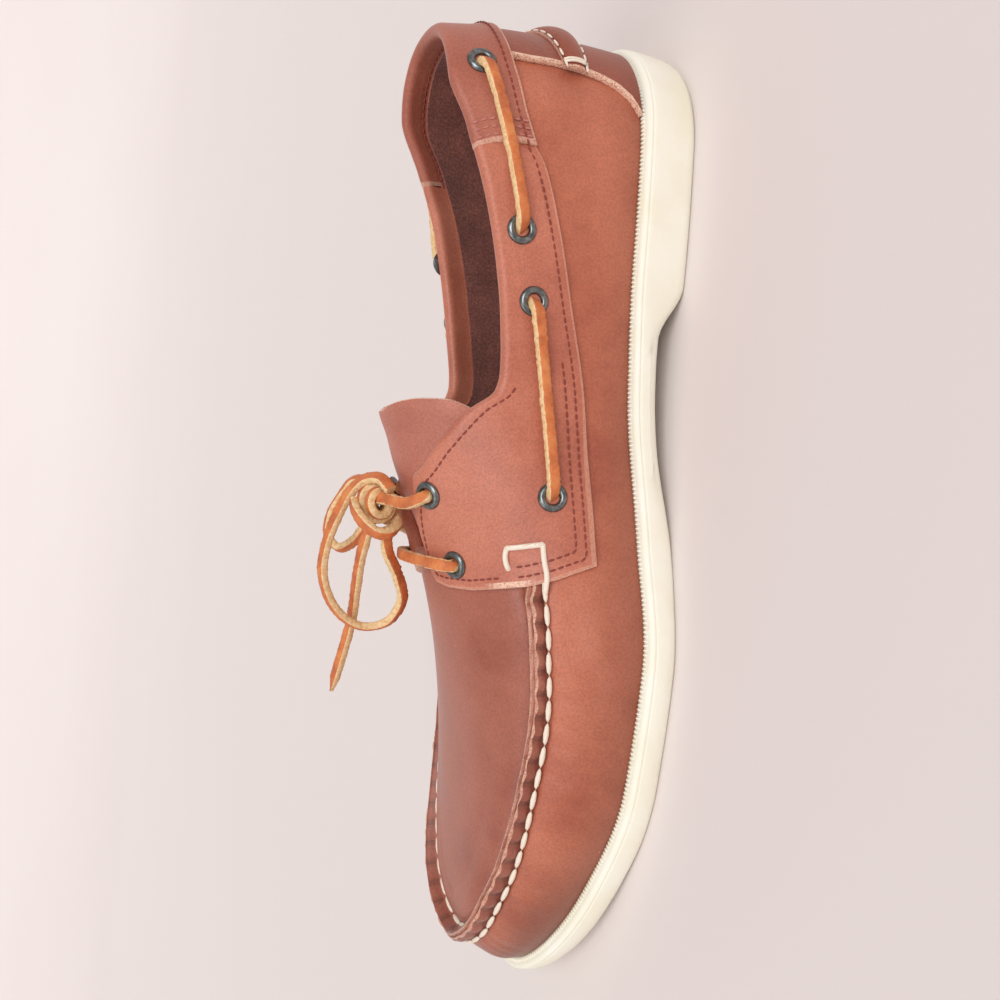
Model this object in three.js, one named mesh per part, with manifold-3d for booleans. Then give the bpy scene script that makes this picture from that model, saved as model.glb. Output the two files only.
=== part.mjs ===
// A left boat shoe: a moccasin-front leather upper on a moulded cup sole, laced round the collar.
// Millimetres, +Z up, the toe towards -Y and the little-toe side of the foot towards +X.
// Pieces are worked out in the last's own frame, where "along" runs from the heel's back (0) to
// the toe (LENGTH); at the end the whole shoe is moved so that its origin is under its middle.

import * as THREE from "three";
import { mergeVertices } from "three/addons/utils/BufferGeometryUtils.js";
import Module from "manifold-3d";

const wasm = await Module();
wasm.setup();

// ---------------------------------------------------------------- driving dimensions

const LENGTH = 300; // outsole, heel to toe
const HEEL_ROUND = 36; // length over which the outline closes at the heel
const TOE_ROUND = 62; // and at the toe
const FEATHER_INSET = 4; // width of the sole's lip outside the upper
const WALL = 2.0; // the upper's leather and lining together
const LEATHER = 1.8; // an overlay's leather
const GAP = 0.3; // clearance between neighbouring pieces

// The outsole's plan: half widths each side of the axis, before the ends are rounded.
const OUTLINE = [
  { along: 0, lateral: 33, medial: 33 },
  { along: 30, lateral: 36.5, medial: 35 },
  { along: 66, lateral: 39.5, medial: 35.5 },
  { along: 114, lateral: 41, medial: 32 },
  { along: 156, lateral: 49.5, medial: 34 },
  { along: 192, lateral: 57.5, medial: 42 },
  { along: 225, lateral: 55.5, medial: 49 },
  { along: 258, lateral: 46, medial: 47.5 },
  { along: 300, lateral: 34, medial: 37 },
];

// The outsole's heights: it stands on heel and forefoot, clears the floor at the arch and
// rises at the toe.
const SOLE_TREAD = [
  { along: 0, height: 2.5 },
  { along: 12, height: 0 },
  { along: 78, height: 0 },
  { along: 95, height: 7 },
  { along: 126, height: 5 },
  { along: 165, height: 0 },
  { along: 236, height: 0 },
  { along: 270, height: 3 },
  { along: 300, height: 9 },
];
const SOLE_TOP = [
  { along: 0, height: 17.5 },
  { along: 36, height: 17 },
  { along: 75, height: 16.6 },
  { along: 108, height: 14.5 },
  { along: 150, height: 11 },
  { along: 186, height: 9 },
  { along: 228, height: 9.2 },
  { along: 264, height: 12 },
  { along: 300, height: 18 },
];

// The last: height of its ridge, fullness of its section (2 is an ellipse, more is squarer), and
// how far the inner wall leans in at the ridge. Behind the instep the ridge is above the collar.
const LAST = [
  { along: 0, ridge: 104, fullness: 3.0, lean: 0 },
  { along: 20, ridge: 104, fullness: 2.8, lean: 5 },
  { along: 36, ridge: 104, fullness: 2.7, lean: 6 },
  { along: 75, ridge: 99, fullness: 2.5, lean: 9 },
  { along: 114, ridge: 84, fullness: 2.3, lean: 9 },
  { along: 126, ridge: 80.5, fullness: 2.2, lean: 5 },
  { along: 141, ridge: 74.5, fullness: 2.1, lean: 1 },
  { along: 168, ridge: 61, fullness: 2.0, lean: 0 },
  { along: 198, ridge: 50.5, fullness: 2.1, lean: 0 },
  { along: 234, ridge: 42, fullness: 2.4, lean: 0 },
  { along: 270, ridge: 38.3, fullness: 2.7, lean: 0 },
  { along: 300, ridge: 37.5, fullness: 2.7, lean: 0 },
];
const TOE_BOX_ROUND = 30; // length over which the ridge comes down to the sole at the toe
const HEEL_LEAN = 7; // how far the heel's back leans forward at BACK_HEIGHT
const HEEL_LEAN_LENGTH = 70; // the lean fades out this far along
const BACK_HEIGHT = 78;
const LEAN_SHOULDER = 20; // the inner wall's lean fades out from this far off the ridge

// The collar's edge, then the throat's edge where it climbs the instep.
const TOPLINE = [
  { along: -10, lateral: 77, medial: 77 },
  { along: 14, lateral: 77, medial: 77 },
  { along: 27, lateral: 76.5, medial: 75.5 },
  { along: 42, lateral: 71, medial: 67.5 },
  { along: 63, lateral: 63.5, medial: 58.5 },
  { along: 80, lateral: 58.8, medial: 54 },
  { along: 97, lateral: 55.4, medial: 51 },
  { along: 112, lateral: 53.8, medial: 49 },
  { along: 116, lateral: 54.5, medial: 50 },
  { along: 122.5, lateral: 61, medial: 55.5 },
  { along: 133.5, lateral: 67.6, medial: 60 },
  { along: 144.5, lateral: 72.0, medial: 65 },
  { along: 150, lateral: 90, medial: 90 },
];
// The throat seen from above: its half width, down to its rounded foot under the facings.
const THROAT = [
  { along: 133, half: 17.5 },
  { along: 144, half: 14.4 },
  { along: 156, half: 10 },
  { along: 161, half: 9 },
];
const THROAT_FOOT = { along: 161, radius: 9 };
const FACING_END = 182; // the facings stay apart to beyond their front edge

// The lace channel's lower edge, on both sides of the shoe, and the front edge of the facing.
const CHANNEL_EDGE = [
  { along: -10, height: 61 },
  { along: 12, height: 60.2 },
  { along: 28, height: 57 },
  { along: 46, height: 51.5 },
  { along: 52, height: 48 },
  { along: 72, height: 41.2 },
  { along: 89, height: 36.5 },
  { along: 116, height: 29.5 },
  { along: 139, height: 26.7 },
  { along: 163, height: 24.0 },
];
const FACING_FRONT = [
  { along: 163, height: 24 },
  { along: 167, height: 31 },
  { along: 169.5, height: 37 },
  { along: 171.2, height: 44 },
  { along: 174, height: 55 },
  { along: 174.2, height: 58 },
  { along: 173, height: 60.3 },
  { along: 170, height: 61.5 },
];
const WRAP_END = 46; // the heel wrap of the collar ends this far along, and the facing starts

// The heel patch's front edge, from under the collar's wrap down to the sole.
const PATCH_EDGE = [
  { along: 18.6, height: 58 },
  { along: 19, height: 53.0 },
  { along: 18.8, height: 46 },
  { along: 19.2, height: 37 },
  { along: 20.6, height: 30 },
  { along: 22.5, height: 25.0 },
  { along: 25.5, height: 21 },
  { along: 30, height: 18.0 },
];
const PATCH_TOP = 59.5; // just under the wrap's lower edge
const BAND = { end: 20, low: 34, high: 47.5, endLow: 35, endHigh: 43.5, thick: 2.8 };

// Eyelets on each side, from the heel forward: where they sit on the facing.
const EYELETS = [
  { along: 23.3, height: 67.7 },
  { along: 70.6, height: 53.3 },
  { along: 90, height: 47.5 },
  { along: 145, height: 37 },
  { along: 147.5, height: 65.8 },
  { along: 167.2, height: 56 },
];
const EYELET = { hole: 2.3, flange: 4.3, thick: 1.0, sides: 14 };
const EYELET_SEAT = LEATHER + 2 * GAP + 0.15; // under a ring, off the form
const LACE = 3.0; // the rawhide lace's solid, its usual thickness
const LACE_SIDES = 8;
const LACE_STEPS = 12; // sections along a bar or a crossing
const EYELET_REACH = 4.3; // how far off the form a lace starts inside its eyelet

// The bow on the instep: the knot's middle and half sizes, and the routes of its loops and ends,
// each point as [x, along, height].
const KNOT = { at: [-3, 152.5, 76], half: [6, 5.5, 4.8] };
const BOW = {
  bow_loop_front: [
    [6, 148, 74.5],
    [2, 145, 77],
    [-4, 146, 80.5],
    [-9, 151, 83.5],
    [-12, 159, 86],
    [-15, 168, 87.5],
    [-18, 177, 87],
    [-20.5, 186, 83],
    [-22, 192, 77],
    [-22.5, 194.5, 70],
    [-20, 192, 63],
    [-15, 184, 60.5],
    [-9, 175, 65],
    [-4, 167.5, 70.5],
    [0, 160.5, 73],
  ],
  bow_loop_rear: [
    [-10.5, 150, 76],
    [-14, 146.5, 78],
    [-19, 147, 80],
    [-24, 152, 82],
    [-28, 159, 84],
    [-30, 166, 83.5],
    [-28, 169.5, 80],
    [-23, 167, 77],
    [-17, 162.5, 75.5],
    [-11, 158, 74.5],
  ],
  lace_end_front: [
    [-6.5, 160, 76.5],
    [-12.5, 170, 76.5],
    [-20, 181, 75],
    [-26.5, 192, 73.5],
    [-30.5, 203, 74],
    [-33, 212, 75],
    [-35, 219, 75.5],
  ],
  lace_end_side: [
    [-9, 157.5, 70.5],
    [-14, 158.5, 67],
    [-20, 160.5, 60.5],
    [-26.5, 164, 51],
    [-31.5, 168.5, 41],
    [-35.5, 173.5, 32.5],
    [-38.5, 178, 26.5],
  ],
};

// ---------------------------------------------------------------- numbers from tables

// A smooth curve through a table's rows that never overshoots them (monotone cubic).
function smooth(rows, column) {
  const x = rows.map((row) => row.along);
  const y = rows.map((row) => row[column]);
  const slope = x.slice(1).map((_, i) => (y[i + 1] - y[i]) / (x[i + 1] - x[i]));
  const tangent = x.map((_, i) => {
    if (i === 0) return slope[0];
    if (i === x.length - 1) return slope[i - 1];
    if (slope[i - 1] * slope[i] <= 0) return 0;
    const before = x[i] - x[i - 1];
    const after = x[i + 1] - x[i];
    const first = 2 * after + before;
    const second = after + 2 * before;
    return (first + second) / (first / slope[i - 1] + second / slope[i]);
  });
  return (along) => {
    const at = THREE.MathUtils.clamp(along, x[0], x[x.length - 1]);
    let i = 0;
    while (i < x.length - 2 && at > x[i + 1]) i += 1;
    const span = x[i + 1] - x[i];
    const t = (at - x[i]) / span;
    const u = 1 - t;
    return (
      y[i] * (1 + 2 * t) * u * u +
      tangent[i] * span * t * u * u +
      y[i + 1] * t * t * (3 - 2 * t) -
      tangent[i + 1] * span * t * t * u
    );
  };
}

const lateralHalf = smooth(OUTLINE, "lateral");
const medialHalf = smooth(OUTLINE, "medial");
const treadHeight = smooth(SOLE_TREAD, "height");
const soleTop = smooth(SOLE_TOP, "height");
const ridgeHeight = smooth(LAST, "ridge");
const sectionFullness = smooth(LAST, "fullness");
const medialLean = smooth(LAST, "lean");

// 1 along the shoe's middle, falling to 0 at both ends as a rounded heel and toe.
const HEEL_POWER = 2.2;
const TOE_POWER = 2.3;
function endRound(along, inset) {
  const heel = THREE.MathUtils.clamp((inset + HEEL_ROUND - along) / HEEL_ROUND, 0, 1);
  const toe = THREE.MathUtils.clamp((along - LENGTH + inset + TOE_ROUND) / TOE_ROUND, 0, 1);
  return (
    (1 - heel ** HEEL_POWER) ** (1 / HEEL_POWER) * (1 - toe ** TOE_POWER) ** (1 / TOE_POWER)
  );
}

// The outline's half width on one side (+1 lateral, -1 medial), moved in by inset.
function halfWidth(along, side, inset) {
  const half = side > 0 ? lateralHalf(along) : medialHalf(along);
  return (half - inset) * endRound(along, inset);
}

// The places of the sections, closer together where the ends curve.
const HEEL_STEPS = 6;
const TOE_STEPS = 7;
const MIDDLE_SECTIONS = [52, 66, 78, 86, 95, 110, 126, 140, 154, 168, 184, 202, 220];
const SECTIONS = [
  ...Array.from({ length: HEEL_STEPS + 1 }, (_, i) => {
    return HEEL_ROUND * (1 - Math.cos((i / HEEL_STEPS) * (Math.PI / 2)));
  }),
  ...MIDDLE_SECTIONS,
  ...Array.from({ length: TOE_STEPS + 1 }, (_, i) => {
    return LENGTH - TOE_ROUND * (1 - Math.sin((i / TOE_STEPS) * (Math.PI / 2)));
  }),
];
const withinInset = (section, inset) => inset + (section * (LENGTH - 2 * inset)) / LENGTH;

// ---------------------------------------------------------------- the upper's own form

const RIDGE_POWER = 2.4;
const ANGLE_STEPS = 18;

// The section of the form at one place along, offset outwards from the upper's outside.
function section(along, offset) {
  const foot = soleTop(along) + GAP;
  const inset = FEATHER_INSET - offset;
  const toe = (along - (LENGTH - inset - TOE_BOX_ROUND)) / TOE_BOX_ROUND;
  const drop = (1 - THREE.MathUtils.clamp(toe, 0, 1) ** RIDGE_POWER) ** (1 / RIDGE_POWER);
  return {
    foot,
    rise: (ridgeHeight(along) + offset - foot) * drop,
    power: sectionFullness(along),
    lateral: halfWidth(along, 1, inset),
    medial: halfWidth(along, -1, inset),
  };
}

// Leans the heel's back forward and the inner wall in, the more the higher a point is.
function leaned(along, x, z) {
  const lift = Math.max(0, z - soleTop(along)) / (BACK_HEIGHT - soleTop(0));
  const fade = Math.max(0, 1 - along / HEEL_LEAN_LENGTH) ** 2;
  const inwards = x < 0 ? medialLean(along) * lift ** 2 * Math.min(1, -x / LEAN_SHOULDER) : 0;
  return new THREE.Vector3(x + inwards, -(along + HEEL_LEAN * fade * lift ** 2), z);
}

// A point of the form by its angle round the section: 0 at the outer foot, PI at the inner one.
function formPoint(along, angle, offset) {
  const { foot, rise, power, lateral, medial } = section(along, offset);
  const across = Math.abs(Math.cos(angle)) ** (2 / power);
  const up = Math.abs(Math.sin(angle)) ** (2 / power);
  const x = Math.cos(angle) >= 0 ? lateral * across : -medial * across;
  return leaned(along, x, foot + rise * up);
}

// A point of the form's side by its height.
function sidePoint(along, height, side, offset) {
  const { foot, rise, power, lateral, medial } = section(along, offset);
  const up = THREE.MathUtils.clamp((height - foot) / rise, 0, 1);
  const across = (1 - up ** power) ** (1 / power);
  return leaned(along, side > 0 ? lateral * across : -medial * across, height);
}

// ---------------------------------------------------------------- solids

function solidFrom(geometry) {
  const bare = geometry.index ? geometry : geometry.clone();
  bare.deleteAttribute("normal");
  bare.deleteAttribute("uv");
  const merged = mergeVertices(bare, 1e-3);
  const corners = [];
  for (let i = 0; i < merged.index.count; i += 3) {
    const [a, b, c] = [0, 1, 2].map((k) => merged.index.getX(i + k));
    if (a !== b && b !== c && c !== a) corners.push(a, b, c);
  }
  const make = (triVerts) => {
    const vertProperties = merged.attributes.position.array;
    return new wasm.Manifold(new wasm.Mesh({ numProp: 3, vertProperties, triVerts }));
  };
  const made = make(new Uint32Array(corners));
  if (made.volume() > 0) return made;
  for (let i = 0; i < corners.length; i += 3) {
    [corners[i + 1], corners[i + 2]] = [corners[i + 2], corners[i + 1]];
  }
  return make(new Uint32Array(corners));
}

// A closed skin over rings of points. Its ends are closed by fans, or across the thickness of a
// bent sheet, whose rings run out along one face and back along the other.
function loft(rings, bentSheet = false) {
  const size = rings[0].length;
  const positions = rings.flat().flatMap((p) => [p.x, p.y, p.z]);
  const faces = [];
  for (let r = 0; r < rings.length - 1; r += 1) {
    for (let i = 0; i < size; i += 1) {
      const j = (i + 1) % size;
      const [a, b] = [r * size + i, r * size + j];
      const [c, d] = [a + size, b + size];
      faces.push(a, b, d, a, d, c);
    }
  }
  const last = (rings.length - 1) * size;
  const closing = [];
  if (bentSheet) {
    for (let i = 0; i < size / 2 - 1; i += 1) {
      const opposite = size - 1 - i;
      closing.push([i, opposite, i + 1], [i + 1, opposite, opposite - 1]);
    }
  } else {
    for (let i = 1; i < size - 1; i += 1) closing.push([0, i + 1, i]);
  }
  for (const [a, b, c] of closing) faces.push(a, b, c, last + a, last + c, last + b);
  const geometry = new THREE.BufferGeometry();
  geometry.setAttribute("position", new THREE.Float32BufferAttribute(positions, 3));
  geometry.setIndex(faces);
  return solidFrom(geometry);
}

// The whole form at one offset, its foot carried down by depth.
function form(offset, depth) {
  const inset = FEATHER_INSET - offset;
  return loft(
    SECTIONS.map((place) => {
      const along = withinInset(place, inset);
      const ring = [];
      for (let i = 0; i <= ANGLE_STEPS; i += 1) {
        ring.push(formPoint(along, (i / ANGLE_STEPS) * Math.PI, offset));
      }
      if (depth > 0) {
        const outer = ring[0];
        const inner = ring[ANGLE_STEPS];
        ring.push(new THREE.Vector3(inner.x, inner.y, inner.z - depth));
        ring.push(new THREE.Vector3(outer.x, outer.y, outer.z - depth));
      }
      return ring;
    }),
  );
}

// A side-view outline (along, height), extruded across the shoe from x = from to x = to.
function sideCutter(outline, from, to) {
  const shape = new THREE.Shape(outline.map(([along, z]) => new THREE.Vector2(-along, z)));
  const geometry = new THREE.ExtrudeGeometry(shape, { depth: to - from, bevelEnabled: false });
  const turn = new THREE.Matrix4().makeBasis(
    new THREE.Vector3(0, 1, 0),
    new THREE.Vector3(0, 0, 1),
    new THREE.Vector3(1, 0, 0),
  );
  geometry.applyMatrix4(turn).translate(from, 0, 0);
  return solidFrom(geometry);
}

// Points of a table's curve at even steps, as [along, height].
function curvePoints(rows, column, from, to, steps) {
  const curve = smooth(rows, column);
  return Array.from({ length: steps + 1 }, (_, i) => {
    const along = from + ((to - from) * i) / steps;
    return [along, curve(along)];
  });
}

const WIDE = 90; // further out than any wall
const HIGH = 130; // higher than the form
const LOW = -20; // lower than the sole
const BEHIND = -10; // further back than the heel
const FOOT_CUT = 8; // an inner form is carried down this far, so that a wall is open underneath
const COLLAR_STEPS = 40; // points along the collar's edge

// All that is cut away above the collar, on both sides of the shoe.
function collarCutter() {
  const sides = [
    ["lateral", 0, WIDE],
    ["medial", -WIDE, 0],
  ].map(([column, from, to]) => {
    const front = TOPLINE[TOPLINE.length - 1].along;
    const edge = curvePoints(TOPLINE, column, BEHIND, front, COLLAR_STEPS);
    return sideCutter([...edge, [front, HIGH], [BEHIND, HIGH]], from, to);
  });
  return sides[0].add(sides[1]);
}

// A plan outline (x, along) extruded upwards through the instep.
function planCutter(outline) {
  const shape = new THREE.Shape(outline.map(([x, along]) => new THREE.Vector2(x, -along)));
  const geometry = new THREE.ExtrudeGeometry(shape, { depth: HIGH, bevelEnabled: false });
  return solidFrom(geometry.translate(0, 0, THROAT_LOW));
}

// The throat's half of a plan outline, from the collar to where the two sides run level.
const THROAT_LOW = 45; // the throat is cut through everything above this height
const throatHalf = smooth(THROAT, "half");
const THROAT_STEPS = 7;
function throatSide(side) {
  const first = THROAT[0].along;
  const last = THROAT[THROAT.length - 1].along;
  return Array.from({ length: THROAT_STEPS + 1 }, (_, i) => {
    const along = first + ((last - first) * i) / THROAT_STEPS;
    return [side * throatHalf(along), along];
  });
}

// The upper's own throat ends in a half circle under the facings.
function throatCutter() {
  const { along, radius } = THROAT_FOOT;
  const foot = [];
  for (let i = 1; i < THROAT_STEPS; i += 1) {
    const turn = (i / THROAT_STEPS) * Math.PI;
    foot.push([-radius * Math.cos(turn), along + radius * Math.sin(turn)]);
  }
  return planCutter([...throatSide(-1), ...foot, ...throatSide(1).reverse()]);
}

// The facings' edges run on, side by side, to their front edge.
function facingsCutter() {
  const half = THROAT_FOOT.radius;
  const ends = [
    [-half, FACING_END],
    [half, FACING_END],
  ];
  return planCutter([...throatSide(-1), ...ends, ...throatSide(1).reverse()]);
}

// ---------------------------------------------------------------- sole, insole, upper, tongue

// The moulded cup sole: a rail for each edge of its section, drawn in at the tread and the lip.
function outsoleSolid() {
  const rails = [
    { inset: 2.2, from: "tread", up: 0 },
    { inset: 0.5, from: "tread", up: 1.5 },
    { inset: 0, from: "tread", up: 4 },
    { inset: 0.8, from: "top", up: -1.2 },
    { inset: 2.0, from: "top", up: 0 },
  ];
  const railPoint = (place, rail, side) => {
    const along = withinInset(place, rail.inset);
    const base = rail.from === "tread" ? treadHeight(along) : soleTop(along);
    const x = side * halfWidth(along, side, rail.inset);
    return new THREE.Vector3(x, -along, base + rail.up);
  };
  return loft(
    SECTIONS.map((place) => [
      ...rails.map((rail) => railPoint(place, rail, 1)),
      ...[...rails].reverse().map((rail) => railPoint(place, rail, -1)),
    ]),
  );
}

// The insole sheet, inside the upper's wall, on the sole's top.
const INSOLE = { thick: 2.5, lift: 0.5, inset: FEATHER_INSET + WALL + 0.6 };
function insoleSolid() {
  return loft(
    SECTIONS.map((place) => {
      const along = withinInset(place, INSOLE.inset);
      const low = soleTop(along) + INSOLE.lift;
      const right = halfWidth(along, 1, INSOLE.inset);
      const left = -halfWidth(along, -1, INSOLE.inset);
      return [
        [right, low],
        [right, low + INSOLE.thick],
        [left, low + INSOLE.thick],
        [left, low],
      ].map(([x, z]) => new THREE.Vector3(x, -along, z));
    }),
  );
}

// The hollow upper: vamp, plug and quarters in one wall, open at the collar, throat and foot.
const collarOpening = collarCutter();
function upperSolid() {
  const wall = form(0, 0).subtract(form(-WALL, FOOT_CUT));
  return wall.subtract(collarOpening).subtract(throatCutter());
}

// The tongue: a curved sheet just under the instep, from inside the vamp to above the collar.
const TONGUE = { top: 117, foot: 184, from: 40, to: 140, under: 3.0, thick: 1.6, corner: 7 };
function tongueSolid() {
  const columns = ((TONGUE.to - TONGUE.from) * ANGLE_STEPS) / 180;
  const places = SECTIONS.filter((place) => place > TONGUE.top + TONGUE.corner && place < TONGUE.foot);
  const rows = [0, ...places, TONGUE.foot];
  return loft(
    rows.map((place) => {
      const outer = [];
      const inner = [];
      for (let c = 0; c <= columns; c += 1) {
        const angle = THREE.MathUtils.degToRad(
          TONGUE.from + ((TONGUE.to - TONGUE.from) * c) / columns,
        );
        const edge = Math.abs((2 * c) / columns - 1);
        const along = place === 0 ? TONGUE.top + TONGUE.corner * edge ** 4 : place;
        outer.push(formPoint(along, angle, -TONGUE.under));
        inner.push(formPoint(along, angle, -TONGUE.under - TONGUE.thick));
      }
      return [...outer, ...inner.reverse()];
    }),
    true,
  );
}

// ---------------------------------------------------------------- overlays

// A shell of the form between two offsets, from which the overlays are cut.
function shell(low, high) {
  return form(high, 0).subtract(form(low, FOOT_CUT));
}
const overlayShell = shell(GAP, GAP + LEATHER).subtract(collarOpening).subtract(facingsCutter());

const FACING_STEPS = 14; // points along the channel's lower edge on a facing
const WRAP_STEPS = 8; // and on the wrap

// The facing with the lace channel on one side, from the collar's wrap to the front corner.
function facingSolid(side) {
  const rear = WRAP_END + GAP;
  const low = curvePoints(CHANNEL_EDGE, "height", rear, FACING_FRONT[0].along, FACING_STEPS);
  const front = FACING_FRONT.map(({ along, height }) => [along, height]);
  const outline = [...low, ...front.slice(1), [THROAT_FOOT.along, HIGH], [rear, HIGH]];
  const from = side > 0 ? 0 : -WIDE;
  return overlayShell.intersect(sideCutter(outline, from, from + WIDE));
}

// The wrap that binds the collar round the heel, one piece from side to side.
function wrapSolid() {
  const low = curvePoints(CHANNEL_EDGE, "height", BEHIND, WRAP_END, WRAP_STEPS);
  const outline = [...low, [WRAP_END, HIGH], [BEHIND, HIGH]];
  return overlayShell.intersect(sideCutter(outline, -WIDE, WIDE));
}

// The patch over the heel's back seam, from the wrap down to the sole.
function patchSolid() {
  const edge = PATCH_EDGE.map(({ along, height }) => [along, height]);
  const foot = PATCH_EDGE[PATCH_EDGE.length - 1].along;
  const outline = [[BEHIND, PATCH_TOP], [12, PATCH_TOP], ...edge, [foot, LOW], [BEHIND, LOW]];
  return overlayShell.intersect(sideCutter(outline, -WIDE, WIDE));
}

// The padded band round the heel, standing on the patch.
function bandSolid() {
  const under = 2 * GAP + LEATHER;
  const outline = [
    [BEHIND, BAND.low],
    [BAND.end, BAND.endLow],
    [BAND.end, BAND.endHigh],
    [BEHIND, BAND.high],
  ];
  return shell(under, under + BAND.thick).intersect(sideCutter(outline, -WIDE, WIDE));
}

// ---------------------------------------------------------------- eyelets and lace

// The direction straight out of the form's side.
function outwards(along, height, side) {
  const at = sidePoint(along, height, side, 0);
  const forward = sidePoint(along + 1, height, side, 0).sub(at);
  const upward = sidePoint(along, height + 1, side, 0).sub(at);
  const normal = new THREE.Vector3().crossVectors(upward, forward).normalize();
  return normal.x * side < 0 ? normal.negate() : normal;
}

// A point standing off the form's side by a clear distance.
function standOff(along, height, side, distance) {
  return sidePoint(along, height, side, 0).addScaledVector(outwards(along, height, side), distance);
}

// A rolled metal ring, its underside at z = 0.
function eyeletGeometry() {
  const { hole, flange, thick, sides } = EYELET;
  const middle = (hole + flange) / 2;
  const profile = [
    [hole, 0],
    [flange, 0],
    [middle + 0.4, thick],
    [middle - 0.4, thick],
    [hole, 0],
  ].map(([r, z]) => new THREE.Vector2(r, z));
  return new THREE.LatheGeometry(profile, sides).rotateX(Math.PI / 2);
}

// A tube with a round section along a curve.
function tubeGeometry(curve, diameter, steps) {
  const shape = new THREE.Shape(
    Array.from({ length: LACE_SIDES }, (_, i) => {
      const turn = ((i + 0.5) / LACE_SIDES) * 2 * Math.PI;
      return new THREE.Vector2(Math.cos(turn), Math.sin(turn)).multiplyScalar(diameter / 2);
    }),
  );
  return new THREE.ExtrudeGeometry(shape, { steps, extrudePath: curve, bevelEnabled: false });
}

// The lace lying along the channel between two eyelets of one side, its ends in their holes.
function barCurve(rear, front, side) {
  const start = EYELETS[rear];
  const end = EYELETS[front];
  const span = Math.hypot(end.along - start.along, end.height - start.height);
  const profile = [
    [0, EYELET_REACH],
    [4 / span, 5.6],
    [9 / span, 5.0],
    [0.5, 4.6],
    [1 - 9 / span, 5.0],
    [1 - 4 / span, 5.6],
    [1, EYELET_REACH],
  ];
  return new THREE.CatmullRomCurve3(
    profile.map(([t, distance]) => {
      const along = start.along + (end.along - start.along) * t;
      const height = start.height + (end.height - start.height) * t;
      return standOff(along, height, side, distance);
    }),
  );
}

// The lace crossing over the instep at a pair of eyelets, on points given as [angle, clearance].
function crossingCurve(index, along, route) {
  const { along: place, height } = EYELETS[index];
  const points = route.map(([angle, clearance]) => {
    return formPoint(along, THREE.MathUtils.degToRad(angle), clearance);
  });
  return new THREE.CatmullRomCurve3([
    standOff(place, height, 1, EYELET_REACH),
    ...points,
    standOff(place, height, -1, EYELET_REACH),
  ]);
}
const FRONT_CROSSING = [
  [67, 5.9],
  [76, 5.3],
  [90, 4.8],
  [104, 5.3],
  [113, 5.9],
];
const TOP_CROSSING = [
  [70, 6.7],
  [80, 5.9],
  [90, 5.2],
  [100, 5.9],
  [110, 6.7],
];

const bowPoint = ([x, along, height]) => new THREE.Vector3(x, -along, height);

// The bow's knot: a pebble round the crossing lace, which runs through it with a clearance.
function knotSolid(crossing) {
  const pebble = new THREE.SphereGeometry(1, 14, 9);
  pebble.scale(...KNOT.half).translate(...bowPoint(KNOT.at).toArray());
  const tunnel = tubeGeometry(crossing, LACE + 2 * GAP, LACE_STEPS);
  return solidFrom(pebble).subtract(solidFrom(tunnel));
}

// ---------------------------------------------------------------- the shoe

const LEATHER_RED = 0xa5604b;
const LACE_TAN = 0xc9773f;
// Colour, roughness and metalness of a piece; every piece has a material of its own.
function material(color, roughness, metalness = 0) {
  return new THREE.MeshStandardMaterial({ color, roughness, metalness });
}

const shoe = new THREE.Group();

function addSolid(name, solid, look) {
  const mesh = solid.getMesh();
  const geometry = new THREE.BufferGeometry();
  geometry.setAttribute("position", new THREE.BufferAttribute(mesh.vertProperties, 3));
  geometry.setIndex(new THREE.BufferAttribute(mesh.triVerts, 1));
  geometry.computeVertexNormals();
  const piece = new THREE.Mesh(geometry, look);
  piece.name = name;
  shoe.add(piece);
  return piece;
}

addSolid("outsole", outsoleSolid(), material(0xf2edda, 0.6));
addSolid("insole", insoleSolid(), material(0x6b3f34, 0.9));
addSolid("upper", upperSolid(), material(LEATHER_RED, 0.6));
addSolid("tongue", tongueSolid(), material(0xa8634e, 0.6));
addSolid("facing_lateral", facingSolid(1), material(LEATHER_RED, 0.55));
addSolid("facing_medial", facingSolid(-1), material(LEATHER_RED, 0.55));
addSolid("collar_wrap", wrapSolid(), material(0x9c5847, 0.6));
addSolid("heel_patch", patchSolid(), material(0x985443, 0.6));
addSolid("heel_band", bandSolid(), material(0x985443, 0.6));

function addGeometry(name, geometry, look) {
  return addSolid(name, solidFrom(geometry), look);
}

const sides = { lateral: 1, medial: -1 };
for (const [sideName, side] of Object.entries(sides)) {
  EYELETS.forEach(({ along, height }, i) => {
    const name = `eyelet_${sideName}_${i + 1}`;
    const ring = addGeometry(name, eyeletGeometry(), material(0x5f6466, 0.35, 0.9));
    const axis = outwards(along, height, side);
    ring.position.copy(standOff(along, height, side, EYELET_SEAT));
    ring.quaternion.setFromUnitVectors(new THREE.Vector3(0, 0, 1), axis);
  });
  const bars = { rear: barCurve(0, 1, side), front: barCurve(2, 3, side) };
  for (const [place, curve] of Object.entries(bars)) {
    const tube = tubeGeometry(curve, LACE, LACE_STEPS);
    addGeometry(`lace_bar_${sideName}_${place}`, tube, material(LACE_TAN, 0.8));
  }
}

const frontCrossing = crossingCurve(5, 168, FRONT_CROSSING);
const topCrossing = crossingCurve(4, 151, TOP_CROSSING);
addGeometry("lace_crossing_front", tubeGeometry(frontCrossing, LACE, LACE_STEPS), material(LACE_TAN, 0.8));
addGeometry("lace_crossing_top", tubeGeometry(topCrossing, LACE, LACE_STEPS), material(LACE_TAN, 0.8));
addSolid("bow_knot", knotSolid(topCrossing), material(LACE_TAN, 0.8));

const BOW_STEP = 8; // a section of a loop or an end every this many millimetres
for (const [name, route] of Object.entries(BOW)) {
  const curve = new THREE.CatmullRomCurve3(route.map(bowPoint));
  const steps = Math.round(curve.getLength() / BOW_STEP);
  addGeometry(name, tubeGeometry(curve, LACE, steps), material(LACE_TAN, 0.8));
}

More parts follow.
